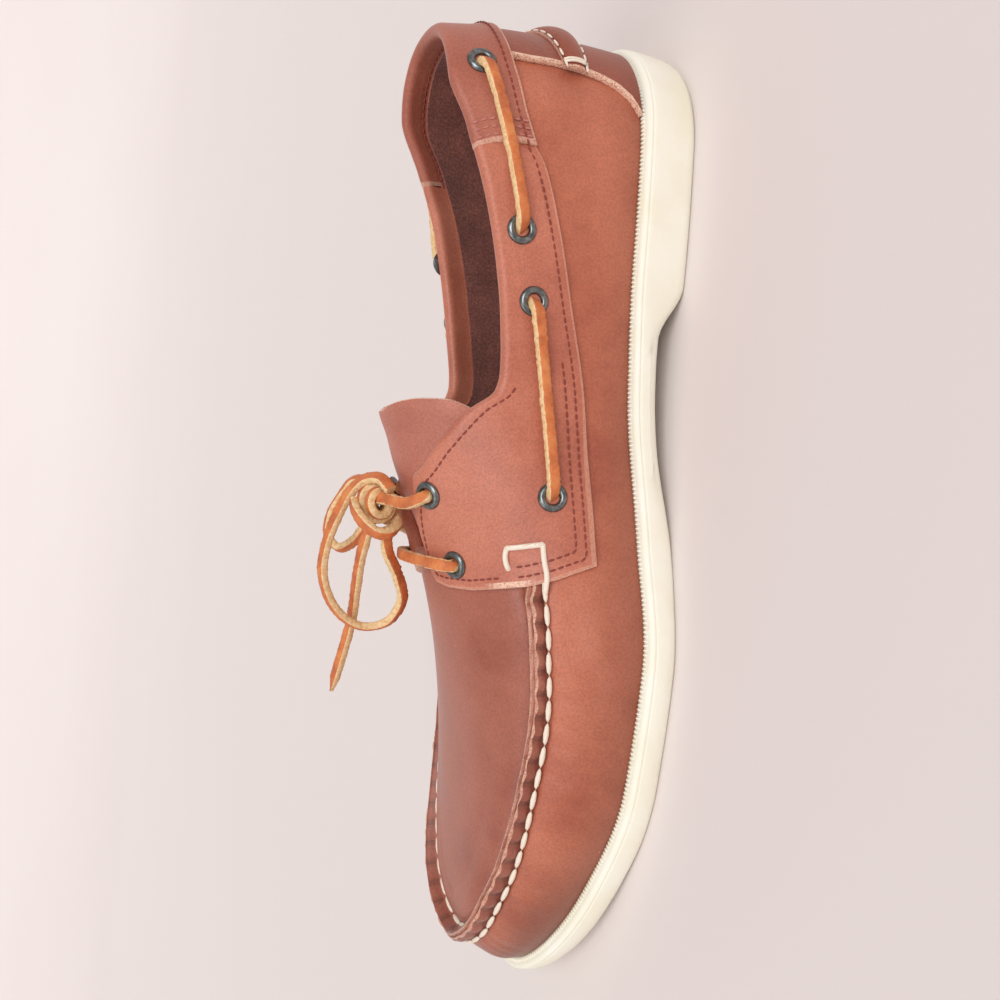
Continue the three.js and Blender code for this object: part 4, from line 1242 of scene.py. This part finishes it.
# The inner row is only laid where it shows beyond the ridge: from here on, on each side.
INNER_ROW_FROM = {"lateral": 214, "medial": 184}
clear = seam_even[:, 1] > np.where(
    seam_even[:, 0] > 0, INNER_ROW_FROM["lateral"], INNER_ROW_FROM["medial"])
sew("moccasin_stitches", [
    between_holes(seam_line, seam_out, STITCH_PITCH, STITCH_PITCH / 2),
    between_holes(inner_line[clear], inner_out[clear], STITCH_PITCH, STITCH_PITCH / 2),
], cream_thread, STITCH_PITCH, 6.9, 1.75, flatness=0.85, wander=0.12)

# ---------------------------------------------------------------- lining and insole
# Brushed suede lines the wall, its nap towards the foot, and a leather sock lies on the sole.

# Split suede: no grain, a short directionless nap that catches light at its edges.
suede, tree = material("brushed_split_suede")
place = add(tree, "ShaderNodeTexCoord").outputs["Object"]
nap = add(tree, "ShaderNodeTexNoise", {"Vector": place, "Scale": 1400.0, "Detail": 6.0,
                                       "Roughness": 0.75})
brushed = add(tree, "ShaderNodeTexNoise", {"Vector": place, "Scale": 90.0, "Detail": 3.0})
strokes = add(tree, "ShaderNodeMath", {0: brushed, 1: 0.2}, operation="MULTIPLY")
height = add(tree, "ShaderNodeMath", {0: nap, 1: 0.8, 2: strokes},
             operation="MULTIPLY_ADD")
tone = add(tree, "ShaderNodeValToRGB", {"Fac": height},
           stops=[(0.38, "#5E2B20"), (0.5, "#824538"), (0.64, "#B06B57")])
relief = add(tree, "ShaderNodeBump", {"Height": nap, "Strength": 0.9,
                                      "Distance": 0.0004})
add(tree, "ShaderNodeOutputMaterial", {"Surface": add(tree, "ShaderNodeBsdfPrincipled", {
    "Base Color": tone, "Roughness": 0.95, "Normal": relief,
    "Sheen Weight": 0.35, "Sheen Roughness": 0.6, "Specular IOR Level": 0.2,
})})

BINDING_DEPTH = 9.0  # the collar's leather turns in this far
LINING_BACK, LINING_NAP = 0.05, 0.75  # how far inside the wall its two faces lie
LINING_TOP = math.radians(84)  # it never comes nearer to the ridge than this
lining_walk = outline_walk(2.6)[:-1]
lining_base = []
for i, (x, along) in enumerate(lining_walk):
    side = 1 if i <= len(lining_walk) / 2 else -1
    reach = min(float(edge_angle(along, side, lowered=BINDING_DEPTH - 1.5, widened=5.0,
                                 seam=False)), LINING_TOP)
    line = by_side(along, np.linspace(0, 1, 160) * reach, side)
    length = steps_of(line).sum()
    lining_base.append(spaced(line, np.linspace(0, 1, 24) * length))
lining_base = np.stack(lining_base)
lining_normals = grid_normals(lining_base, ring=True)
fuzz = rng.standard_normal(lining_base.shape[:2]) * 0.06
lining = slab("suede_lining", lining_base - lining_normals * (WALL + LINING_BACK),
              lining_base - lining_normals * (WALL + LINING_NAP + fuzz)[..., None], suede,
              ring=True, raw=(0, 0, 0, 0))
fit(lining, "lining_suede")

INSOLE_INSET = FEATHER_INSET + WALL + 0.9
insole_leather = leather("vegetable_tanned_insole_leather", "#5F3428", "#744234", "#85503F",
                         raw="#B58B6C", grain=0.8, shine=0.6)
insole_rows = []
places = SOLE_PLACES[::2]
along = INSOLE_INSET + places * (LENGTH - 2 * INSOLE_INSET) / LENGTH
for share in np.linspace(-1, 1, 17):
    half = half_width(along, 1 if share > 0 else -1, INSOLE_INSET)
    dished = 0.9 * (1 - share**2) * smoothstep(along, 10, 30) * (1 - smoothstep(along, 60, 95))
    insole_rows.append(np.stack([share * half, -along, sole_top(along) + 3.0 - dished], -1))
insole_top = np.stack(insole_rows, 1)
insole = slab("insole_sock", insole_top, insole_top - (0, 0, 2.4), insole_leather)
fit(insole, "insole_leather", "insole")

# ---------------------------------------------------------------- tongue
# A curved piece of the same leather under the throat: its cut top stands above the collar, and
# its grain side shows between the facings.

TONGUE = {"foot": 184, "from": 40, "to": 140, "under": 3.0, "thick": 1.6}
# Where the cut top lies along the last, by the angle round it.
TONGUE_TOP = table(
    "along top", (40, 122.5), (50, 120), (60, 120.2), (70, 121.2), (80, 122.6), (90, 124.4),
    (100, 124.2), (115, 122), (128, 121), (140, 123.5),
)
tongue_leather = leather("oiled_tongue_leather", "#A85E4B", "#BD7460", "#C7826D", grain=0.8,
                         shine=0.5)
share = np.linspace(0, 1, 72)[:, None]
angle = np.radians(np.linspace(TONGUE["from"], TONGUE["to"], 60))[None]
top_edge = smooth(TONGUE_TOP, "top")(np.degrees(angle))
along = top_edge + (TONGUE["foot"] - top_edge) * share
tongue_base = form_point(along, angle, -TONGUE["under"])
tongue_normals = grid_normals(tongue_base)
curl = 0.8 * np.exp(-((along - top_edge) / 7) ** 2) - 0.5 * np.exp(-(((along - 131) / 5) ** 2))
ripple = 0.35 * np.sin(angle * 7 + along / 9)
tongue_base = tongue_base + tongue_normals * (curl + ripple)[..., None]
tongue = slab("tongue_leather_piece", tongue_base,
              tongue_base - tongue_normals * TONGUE["thick"], tongue_leather)
fit(tongue, "tongue_leather", "tongue")

# ---------------------------------------------------------------- facings with the lace channel
# An overlay on each side from the heel's wrap to the vamp. It is turned over the collar and the
# throat with a rolled edge, and cut raw along the channel and in front.

CHANNEL_EDGE = table(
    "along height",
    (-10, 61), (12, 60.2), (28, 57), (46, 51.5), (52, 48), (72, 41.2), (89, 36.5), (116, 29.5),
    (139, 26.7), (163, 24.0),
)
FACING_FRONT = table(
    "along height",
    (163, 24), (165.6, 31), (168.2, 37), (170.6, 44), (173.8, 55), (174.2, 58), (173, 60.3),
    (170, 61.5),
)
channel_edge = smooth(CHANNEL_EDGE, "height")
OVERLAY = GAP + LEATHER
ROLL = 2.2  # radius of the rolled edge
INNER_ROLL = 1.1  # and of the same sheet's inner face
UNDERSIDE = 0.1  # clear distance between a sheet's underside and what it lies on
FACING_START = 40
FRONT_SLANT = 7  # how much farther forward the front edge lies at the throat than below
facing_leather = leather("oiled_facing_leather", "#AD5F49", "#C2735A", "#CF8269", grain=0.9,
                         shine=0.43)

front_angle = side_angle(FACING_FRONT["along"], FACING_FRONT["height"], 1)
up_front_edge = (front_angle - front_angle[0]) / (front_angle[-1] - front_angle[0])


def turned_over(base, normals, outer_lift, depth, groove=0.0, roll=ROLL):
    """Carries an overlay's two faces over the top of the wall and down inside it."""
    top, out = base[:, -1], normals[:, -1]
    up = unit(base[:, -1] - base[:, -3])
    roll = np.broadcast_to(roll, len(base))[:, None]
    outer = [base + normals * outer_lift[..., None]]
    inner = [base + normals * (0.12 + np.maximum(outer_lift - OVERLAY, 0))[..., None]]
    for turn in np.linspace(0, math.pi, 10)[1:]:
        c, s = math.cos(turn), math.sin(turn)
        outer.append((top + out * (roll * c - UNDERSIDE) + up * roll * s)[:, None])
        inner.append((top + out * (INNER_ROLL * c - 1.0) + up * INNER_ROLL * s)[:, None])
    for down in np.linspace(0, depth, 11)[1:]:
        line = np.stack([point_at(column, -down) for column in base])
        lip = 0.35 * math.exp(-(((down - 7) / 1.4) ** 2))
        trough = groove * math.exp(-(((down - 5) / 0.6) ** 2))
        outer.append((line - out * (roll + UNDERSIDE + lip - trough))[:, None])
        inner.append((line - out * (WALL + UNDERSIDE))[:, None])
    return np.concatenate(outer, 1), np.concatenate(inner, 1)


def facing_base(side):
    """The facing's grid on the form, from its rear end to its front edge."""
    station = np.linspace(0, 1, 170)[:, None]
    low_along = FACING_START + (FACING_END - FACING_START) * station
    high_along = low_along + FRONT_SLANT * smoothstep(low_along, 118, FACING_END)
    low = side_angle(low_along, channel_edge(low_along), 1)
    half = section(high_along)[3 if side > 0 else 4]
    collar = side_angle(high_along, topline[side](high_along) - TURNED_BELOW, 1)
    throat = np.arccos(np.clip((throat_half(high_along) + 1.6) / half, 0, 1)
                       ** (section(high_along)[2] / 2))
    high = np.where(high_along < COLLAR_END, collar, np.minimum(collar, throat))
    v = np.linspace(0, 1, 44)[None]
    local = low + (high - low) * v
    bow_out = np.interp(v, up_front_edge, FACING_FRONT["along"]) - (FACING_END + FRONT_SLANT * v)
    along = low_along + (high_along - low_along) * v + bow_out * smoothstep(station, 0.62, 1)**1.5
    return by_side(along, local, side)


TEAR = {"height": 44.5, "reach": 4.2, "curl": 0.55, "width": 1.2}
facing_grids = {}
for side_name, side in SIDES.items():
    base = facing_base(side)
    normals = grid_normals(base)
    facing_grids[side] = (base, normals)
    under_wrap = 1 - smoothstep(-base[:, :, 1], 44, 50)
    lift = OVERLAY + creased(base) - 1.0 * under_wrap
    # Where the plug's end is tied down, the front edge is torn and curls up pale.
    tear = np.exp(-(((base[-1, :, 2] - TEAR["height"]) / TEAR["reach"]) ** 4))
    to_front = np.linalg.norm(base - base[-1:], axis=-1)
    curled = TEAR["curl"] * tear * np.exp(-((to_front / TEAR["width"]) ** 2))
    lift += curled * (1 + 0.3 * rng.standard_normal(tear.shape))
    outer, inner = turned_over(base, normals, lift, 8.0, roll=ROLL - 0.4 * under_wrap[:, -1])
    torn = np.zeros((outer.shape[0] - 1, outer.shape[1] - 1))
    torn[:, :base.shape[1] - 1] = (to_front[1:, 1:] < 1.3) * tear[1:]
    facing = slab(f"facing_{side_name}_leather", outer, inner, facing_leather, raw=(1, 1, 0, 0),
                  rim=0.25, marks={"cut": torn})
    fit(facing, "facing_leather", f"facing_{side_name}")

# ---------------------------------------------------------------- heel wrap of the collar
# The channel's piece round the heel, from side to side. It laps over the rear of both facings,
# and its raw front ends are sewn down with three rows of pink thread.

wrap_leather = leather("oiled_wrap_leather", "#9A513C", "#AC614D", "#B9715B", grain=0.9, shine=0.46)
WRAP_REACH = 47  # how far along the wrap's ends come, on average
WRAP_END = table("height along", (48, 46.2), (58, 46.4), (64, 47.6), (68, 49.5))
heel_walk = outline_walk(1.3)
heel_walk = heel_walk[heel_walk[:, 1] < WRAP_REACH]
medial_walk, lateral_walk = heel_walk[heel_walk[:, 0] < 0], heel_walk[heel_walk[:, 0] >= 0]
round_heel = np.vstack([
    medial_walk[np.argsort(-medial_walk[:, 1])], lateral_walk[np.argsort(lateral_walk[:, 1])],
])
wrap_side = np.where(round_heel[:, 0] >= 0, 1, -1)
v = np.linspace(0, 1, 34)
wrap_base = []
for (x, along), side in zip(round_heel, wrap_side):
    place = along
    for _ in range(3):
        low = channel_edge(place)
        high = topline[side](place) - TURNED_BELOW
        height = low + (high - low) * v
        slant = np.interp(height, WRAP_END["height"], WRAP_END["along"]) - WRAP_REACH
        place = along + slant * smoothstep(along, 30, WRAP_REACH)
    wrap_base.append(by_side(place, side_angle(place, height, 1), side))
wrap_base = np.stack(wrap_base)
wrap_normals = grid_normals(wrap_base)
lap = smoothstep(round_heel[:, 1], 34, 42)[:, None] * 0.7 * (1 - smoothstep(v, 0.5, 1))
over_patch = ((1 - smoothstep(round_heel[:, 1], 16, 26)) * 1.2)[:, None] * np.exp(-((v / 0.3) ** 2))
rows_pressed = 0.2 * np.exp(-(((v - 0.5) / 0.45) ** 2))[None]
wrap_lift = OVERLAY + lap + over_patch + rows_pressed + creased(wrap_base)
outer, inner = turned_over(wrap_base, wrap_normals, wrap_lift, BINDING_DEPTH, groove=0.5)
wrap_inside = outer[:, -6]  # the bottom of the groove
wrap = slab("collar_wrap_leather", outer, inner, wrap_leather, raw=(1, 1, 0, 1), rim=0.5)
fit(wrap, "facing_leather", "collar_wrap")

# ---------------------------------------------------------------- heel patch and heel band
# A patch covers the back seam, and a folded leather tunnel round it guides the lace. Both are
# thicker leather of a darker red, raw at their edges; the tunnel is sewn on by hand.

heel_leather = leather("oiled_heel_leather", "#864029", "#974A33", "#A55942", grain=1.1, shine=0.46)
PATCH_EDGE = table(
    "height along",
    (18, 30), (21, 25.5), (25, 22.5), (30, 20.6), (37, 19.2), (46, 18.8), (53, 19), (61.5, 18.6),
)
heel_run_along = np.linspace(FEATHER_INSET, 60, 1500)
heel_fine = {}
for side in (1, -1):
    line = np.stack([side * half_width(heel_run_along, side, FEATHER_INSET), heel_run_along], -1)
    heel_fine[side] = run_along(line)


def round_the_heel(reach, heights, count):
    """A grid [station, column] round the heel: reach is how far along it comes at each height."""
    share = np.linspace(-1, 1, count)
    grid = np.zeros((count, len(heights), 3))
    for c, (end, height) in enumerate(zip(np.broadcast_to(reach, len(heights)), heights)):
        for side in (-1, 1):
            chosen = share >= 0 if side > 0 else share < 0
            total = np.interp(end, heel_run_along, heel_fine[side])
            along = np.interp(np.abs(share[chosen]) * total, heel_fine[side], heel_run_along)
            grid[chosen, c] = by_side(along, side_angle(along, height, 1), side)
    return grid


heights = np.linspace(18.2, 61.5, 48)
patch_reach = np.interp(heights, PATCH_EDGE["height"], PATCH_EDGE["along"])
patch_base = round_the_heel(patch_reach, heights, 91)
patch_normals = grid_normals(patch_base)
patch = slab("heel_patch_leather", patch_base + patch_normals * OVERLAY,
             patch_base + patch_normals * UNDERSIDE, heel_leather, raw=(0, 1, 1, 1), rim=1.0)
fit(patch, "heel_leather", "heel_patch")

BAND = {"end": 20.5, "low": 34, "high": 47.5, "end_low": 35.6, "end_high": 42.8, "thick": 2.6}
v = np.linspace(-1, 1, 21)  # across the band, from its lower edge to its upper one
round_band = np.linspace(-1, 1, 71)[:, None]
share = np.abs(round_band)
low = BAND["low"] + (BAND["end_low"] - BAND["low"]) * share
high = BAND["high"] + (BAND["end_high"] - BAND["high"]) * share
height = (low + high) / 2 + v[None] * (high - low) / 2
run_share = np.linspace(0, 1, 200)
run_to_end = run_share * np.interp(BAND["end"], heel_run_along, heel_fine[1])
place_along = np.interp(run_to_end, heel_fine[1], heel_run_along)
station_along = np.interp(share, run_share, place_along) * np.ones(len(v))
band_side = np.where(round_band >= 0, 1, -1) * np.ones(len(v))
band_base = by_side(station_along, side_angle(station_along, height, 1), band_side)
band_normals = grid_normals(band_base)
tunnel = 0.9 + (BAND["thick"] - 0.4) * superellipse(np.abs(v) / 0.78, 2.0) ** 0.9
band_lift = OVERLAY + 0.4 + (tunnel[None] - 0.4) * (1 - 0.55 * share**5)
band = slab("heel_band_leather", band_base + band_normals * band_lift[..., None],
            band_base + band_normals * OVERLAY, heel_leather, raw=(0.5, 1, 0.5, 1))
fit(band, "heel_leather", "heel_band")

# ---------------------------------------------------------------- eyelets
# Twelve rolled brass eyelets with a glossy gunmetal plating, pressed through the facings.

# Black-nickel plated brass: dark grey mirror, rubbed a little paler on the roll.
gunmetal, tree = material("gunmetal_plated_brass")
place = add(tree, "ShaderNodeTexCoord").outputs["Object"]
rub = add(tree, "ShaderNodeTexNoise", {"Vector": place, "Scale": 700.0, "Detail": 3.0})
tone = add(tree, "ShaderNodeValToRGB", {"Fac": rub},
           stops=[(0.3, "#5C6161"), (0.6, "#7D8281"), (0.8, "#A3A6A4")])
# Painted shade: where the mark is set, on the hole's floor and its inner wall, the metal is painted
# near black and loses its shine.
painted_hole_shade = add(tree, "ShaderNodeAttribute", attribute_name="cut").outputs["Fac"]
ringed = add(tree, "ShaderNodeMix", {0: painted_hole_shade, 6: tone, 7: linear("#140B09")},
             data_type="RGBA")
metal = add(tree, "ShaderNodeMath", {0: 0.95, 1: painted_hole_shade}, operation="SUBTRACT", use_clamp=True)
add(tree, "ShaderNodeOutputMaterial", {"Surface": add(tree, "ShaderNodeBsdfPrincipled", {
    "Base Color": ringed.outputs[2], "Metallic": metal, "Roughness": 0.28,
})})

RING = table(
    "radius height",
    (0.0, -1.0), (2.0, -1.0), (2.0, 0.15), (2.2, 0.62), (2.65, 0.95), (3.2, 1.02), (3.75, 0.8),
    (4.15, 0.4), (4.3, 0.0), (4.2, -0.3),
)
RING_ROWS = len(RING["radius"])
RING_SIDES = 40
turn = np.linspace(0, 2 * math.pi, RING_SIDES, endpoint=False)[:, None]
ring_faces = tube_faces(RING_ROWS, RING_SIDES)
ring_faces.append(list(range((RING_ROWS - 1) * RING_SIDES, RING_ROWS * RING_SIDES)))
# The hole's floor is fully, and its inner wall partly, in that painted shade.
painted_shade_inside = np.append(np.repeat([1.0, 0.6] + [0.0] * (RING_ROWS - 3), RING_SIDES), 0.0)
for side_name, side in SIDES.items():
    for i in range(len(EYELETS["along"])):
        place_along, height = EYELETS["along"][i], EYELETS["height"][i]
        axis = outwards(place_along, height, side)
        across_ring = unit(np.cross(axis, (0, 0, 1)))
        upward = np.cross(axis, across_ring)
        # The rearmost one is pressed through the wrap as well, so it stands higher.
        lift = OVERLAY + (0.25 if i == 0 else 0.05)
        seat = side_point(place_along, height, side) + axis * lift
        spokes = across_ring * np.cos(turn) + upward * np.sin(turn)
        rings = np.stack([seat + spokes * r + axis * z for r, z in zip(*RING.values())])
        made = piece(f"eyelet_ring_{side_name}_{i + 1}", rings.reshape(-1, 3), ring_faces, gunmetal,
                     {"cut": painted_shade_inside}, crisp=80)
        fit(made, "eyelet_metal", f"eyelet_{side_name}_{i + 1}")

# ---------------------------------------------------------------- seams of the overlays
# Fine lockstitched rows hold the overlays down: dark red along the channel and round the
# throat, pink behind the wrap's ends. Thick cream thread ties each facing to the plug.


def edge_row(base, normals, apart, first, turn_to, top=False):
    """A row beside the facing's lower edge, or its top one, that turns along the front edge.

    It begins at the station first and ends at the share turn_to of the front edge's height.
    """
    edge, column = (-1, -3) if top else (0, 2)
    columns = range(base.shape[1])
    rows = []
    for line, out in zip(base[first:], normals[first:]):
        at = point_at(line, -apart if top else apart)
        if np.min(np.linalg.norm(base[-1] - at, axis=1)) > apart:
            rows.append((at, out[column]))
    for c in reversed(columns) if top else columns:
        at = point_at(base[:, c], -apart)
        clear = np.min(np.linalg.norm(base[:, edge] - at, axis=1)) > apart
        up_front = c / len(columns)
        if clear and (up_front > turn_to if top else up_front < turn_to):
            rows.append((at, normals[-3, c]))
    return [np.array(each) for each in zip(*rows)]


def raised(row, lift):
    """A row lifted off the form along its own outward directions."""
    line, out = row
    return line + out * lift, out


FINE = {"pitch": 2.3, "stitch": 1.95, "thick": 0.68}
SEW_LIFT = OVERLAY + 0.08
channel_rows, throat_rows = [], []
for side in (1, -1):
    base, normals = facing_grids[side]
    channel_rows.append(raised(edge_row(base, normals, 2.7, 8, 0.40), SEW_LIFT))
    channel_rows.append(raised(edge_row(base, normals, 5.6, 92, 0.40), SEW_LIFT))
    throat_rows.append(raised(edge_row(base, normals, 2.8, 104, 0.52, top=True), SEW_LIFT))
sew("channel_stitches", channel_rows, tonal_thread, **FINE)
sew("throat_stitches", throat_rows, tonal_thread, **FINE)

wrap_rows = []
for end in (0, -1):
    for apart in (1.9, 4.1, 6.3):
        to_end = wrap_base[::1 if end else -1, 3:]
        at = np.array([point_at(to_end[:, c], -apart) for c in range(to_end.shape[1])])
        wrap_rows.append(raised((at, wrap_normals[end, 3:]), wrap_lift[end, 3:, None] + 0.05))
sew("wrap_end_stitches", wrap_rows, pink_thread, **FINE)
wrap_low = np.array([point_at(line, 2.6) for line in wrap_base])
wrap_low = raised((wrap_low, wrap_normals[:, 3]), wrap_lift[:, 3:4] + 0.05)
sew("wrap_edge_stitches", [wrap_low], tonal_thread, **FINE)


ACROSS_NO_THREAD = (0.31, 0.22, 0.92)  # a direction that none of the threads runs along


def strands(name, lines, radius, look, sides=10):
    """Several round threads as one piece, each along a line of its own."""
    turn = np.linspace(0, 2 * math.pi, sides, endpoint=False)[:, None, None]
    points, faces = [], []
    for line in lines:
        tangent = unit(np.gradient(line, axis=0))
        across = unit(np.cross(tangent, ACROSS_NO_THREAD))
        up = np.cross(tangent, across)
        skin = line + radius * (across * np.cos(turn) + up * np.sin(turn))
        start = sum(len(block) for block in points)
        last = start + (len(line) - 1) * sides
        faces += tube_faces(len(line), sides, start)
        faces += [list(range(start, start + sides))[::-1], list(range(last, last + sides))]
        points.append(np.moveaxis(skin, 0, 1).reshape(-1, 3))
    return fit(piece(name, np.vstack(points), faces, look, crisp=75), "seam_thread")


def on_overlay(places, side, lift=0.55):
    """Points (along, height) on top of an overlay."""
    along, height = np.array(places, float).T
    return side_point(along, height, side) + outwards(along, height, side) * (OVERLAY + lift)


# The thread that ties the plug's end under the facing shows as a squared U of single stitches.
TIE = [
    [(172, 36.6), (167.5, 36.5), (163, 37.5), (158.4, 38.3)], [(158.4, 38.3), (160.4, 46.6)],
    [(160.4, 46.6), (163.2, 46.4), (166.4, 45.4)],
]
tie_lines = []
for side in (1, -1):
    for leg in TIE:
        line = through(leg, 0.6)
        share = np.linspace(0, 1, len(line))[:, None]
        sunk = 0.75 * np.abs(2 * share[:, 0] - 1) ** 6
        out = outwards(line[:, 0], line[:, 1], side)
        tie_lines.append(on_overlay(line, side, 0.5) - out * sunk[:, None])
strands("tie_stitches", tie_lines, 0.8, cream_thread)

# Two hand-sewn rows hold the tunnel round the heel, and end in turns round its open ends.
band_rows = []
for column in (1, len(v) - 2):
    line = band_base[:, column] + band_normals[:, column] * (OVERLAY + 1.15)
    band_rows.append(between_holes(line, band_normals[:, column], 4.6, 2.3))
sew("heel_band_stitches", band_rows, cream_thread, 4.6, 4.0, 0.85, wander=0.15, seed=4)
end_turns = []
for end in (1, -2):
    for slip in (-0.1, 0.9):
        to_end = band_base[::-1 if end > 0 else 1]
        hold = np.array([point_at(to_end[:, c], slip - 1.8) for c in range(len(v))])
        rise = OVERLAY + 1.2 + 0.5 * (BAND["thick"] - 0.5) * superellipse(np.abs(v) / 0.86, 2.0)
        hold = hold + band_normals[end] * rise[:, None]
        end_turns.append(even(hold, 0.5))
strands("heel_band_end_turns", end_turns, 0.42, cream_thread)

# Inside the collar a dark row lies in the groove of the turned-in leather.
collar_row = raised((wrap_inside, -wrap_normals[:, -1]), 0.1)
sew("collar_stitches", [collar_row], tonal_thread, **FINE)

# The lip of the sole is ribbed where it meets the upper.
rib_x, rib_along = outline_walk(0.65).T
rib_line = np.stack([rib_x, -rib_along, sole_top(rib_along) + 0.1], -1)
rib_tangent = unit(np.gradient(rib_line, axis=0))
rib_outward = unit(np.cross(rib_tangent, (0, 0, 1.0)))
rib_line = rib_line + rib_outward * (0.9 * np.sign(np.sum(
    rib_outward * (rib_line - (0, -150.0, 12)), -1)))[:, None]
sew("sole_lip_ribs", [(rib_line, (0, 0, 1.0))], ivory_rubber, 1.3, 0.8, 1.9, slot="sole_rubber")
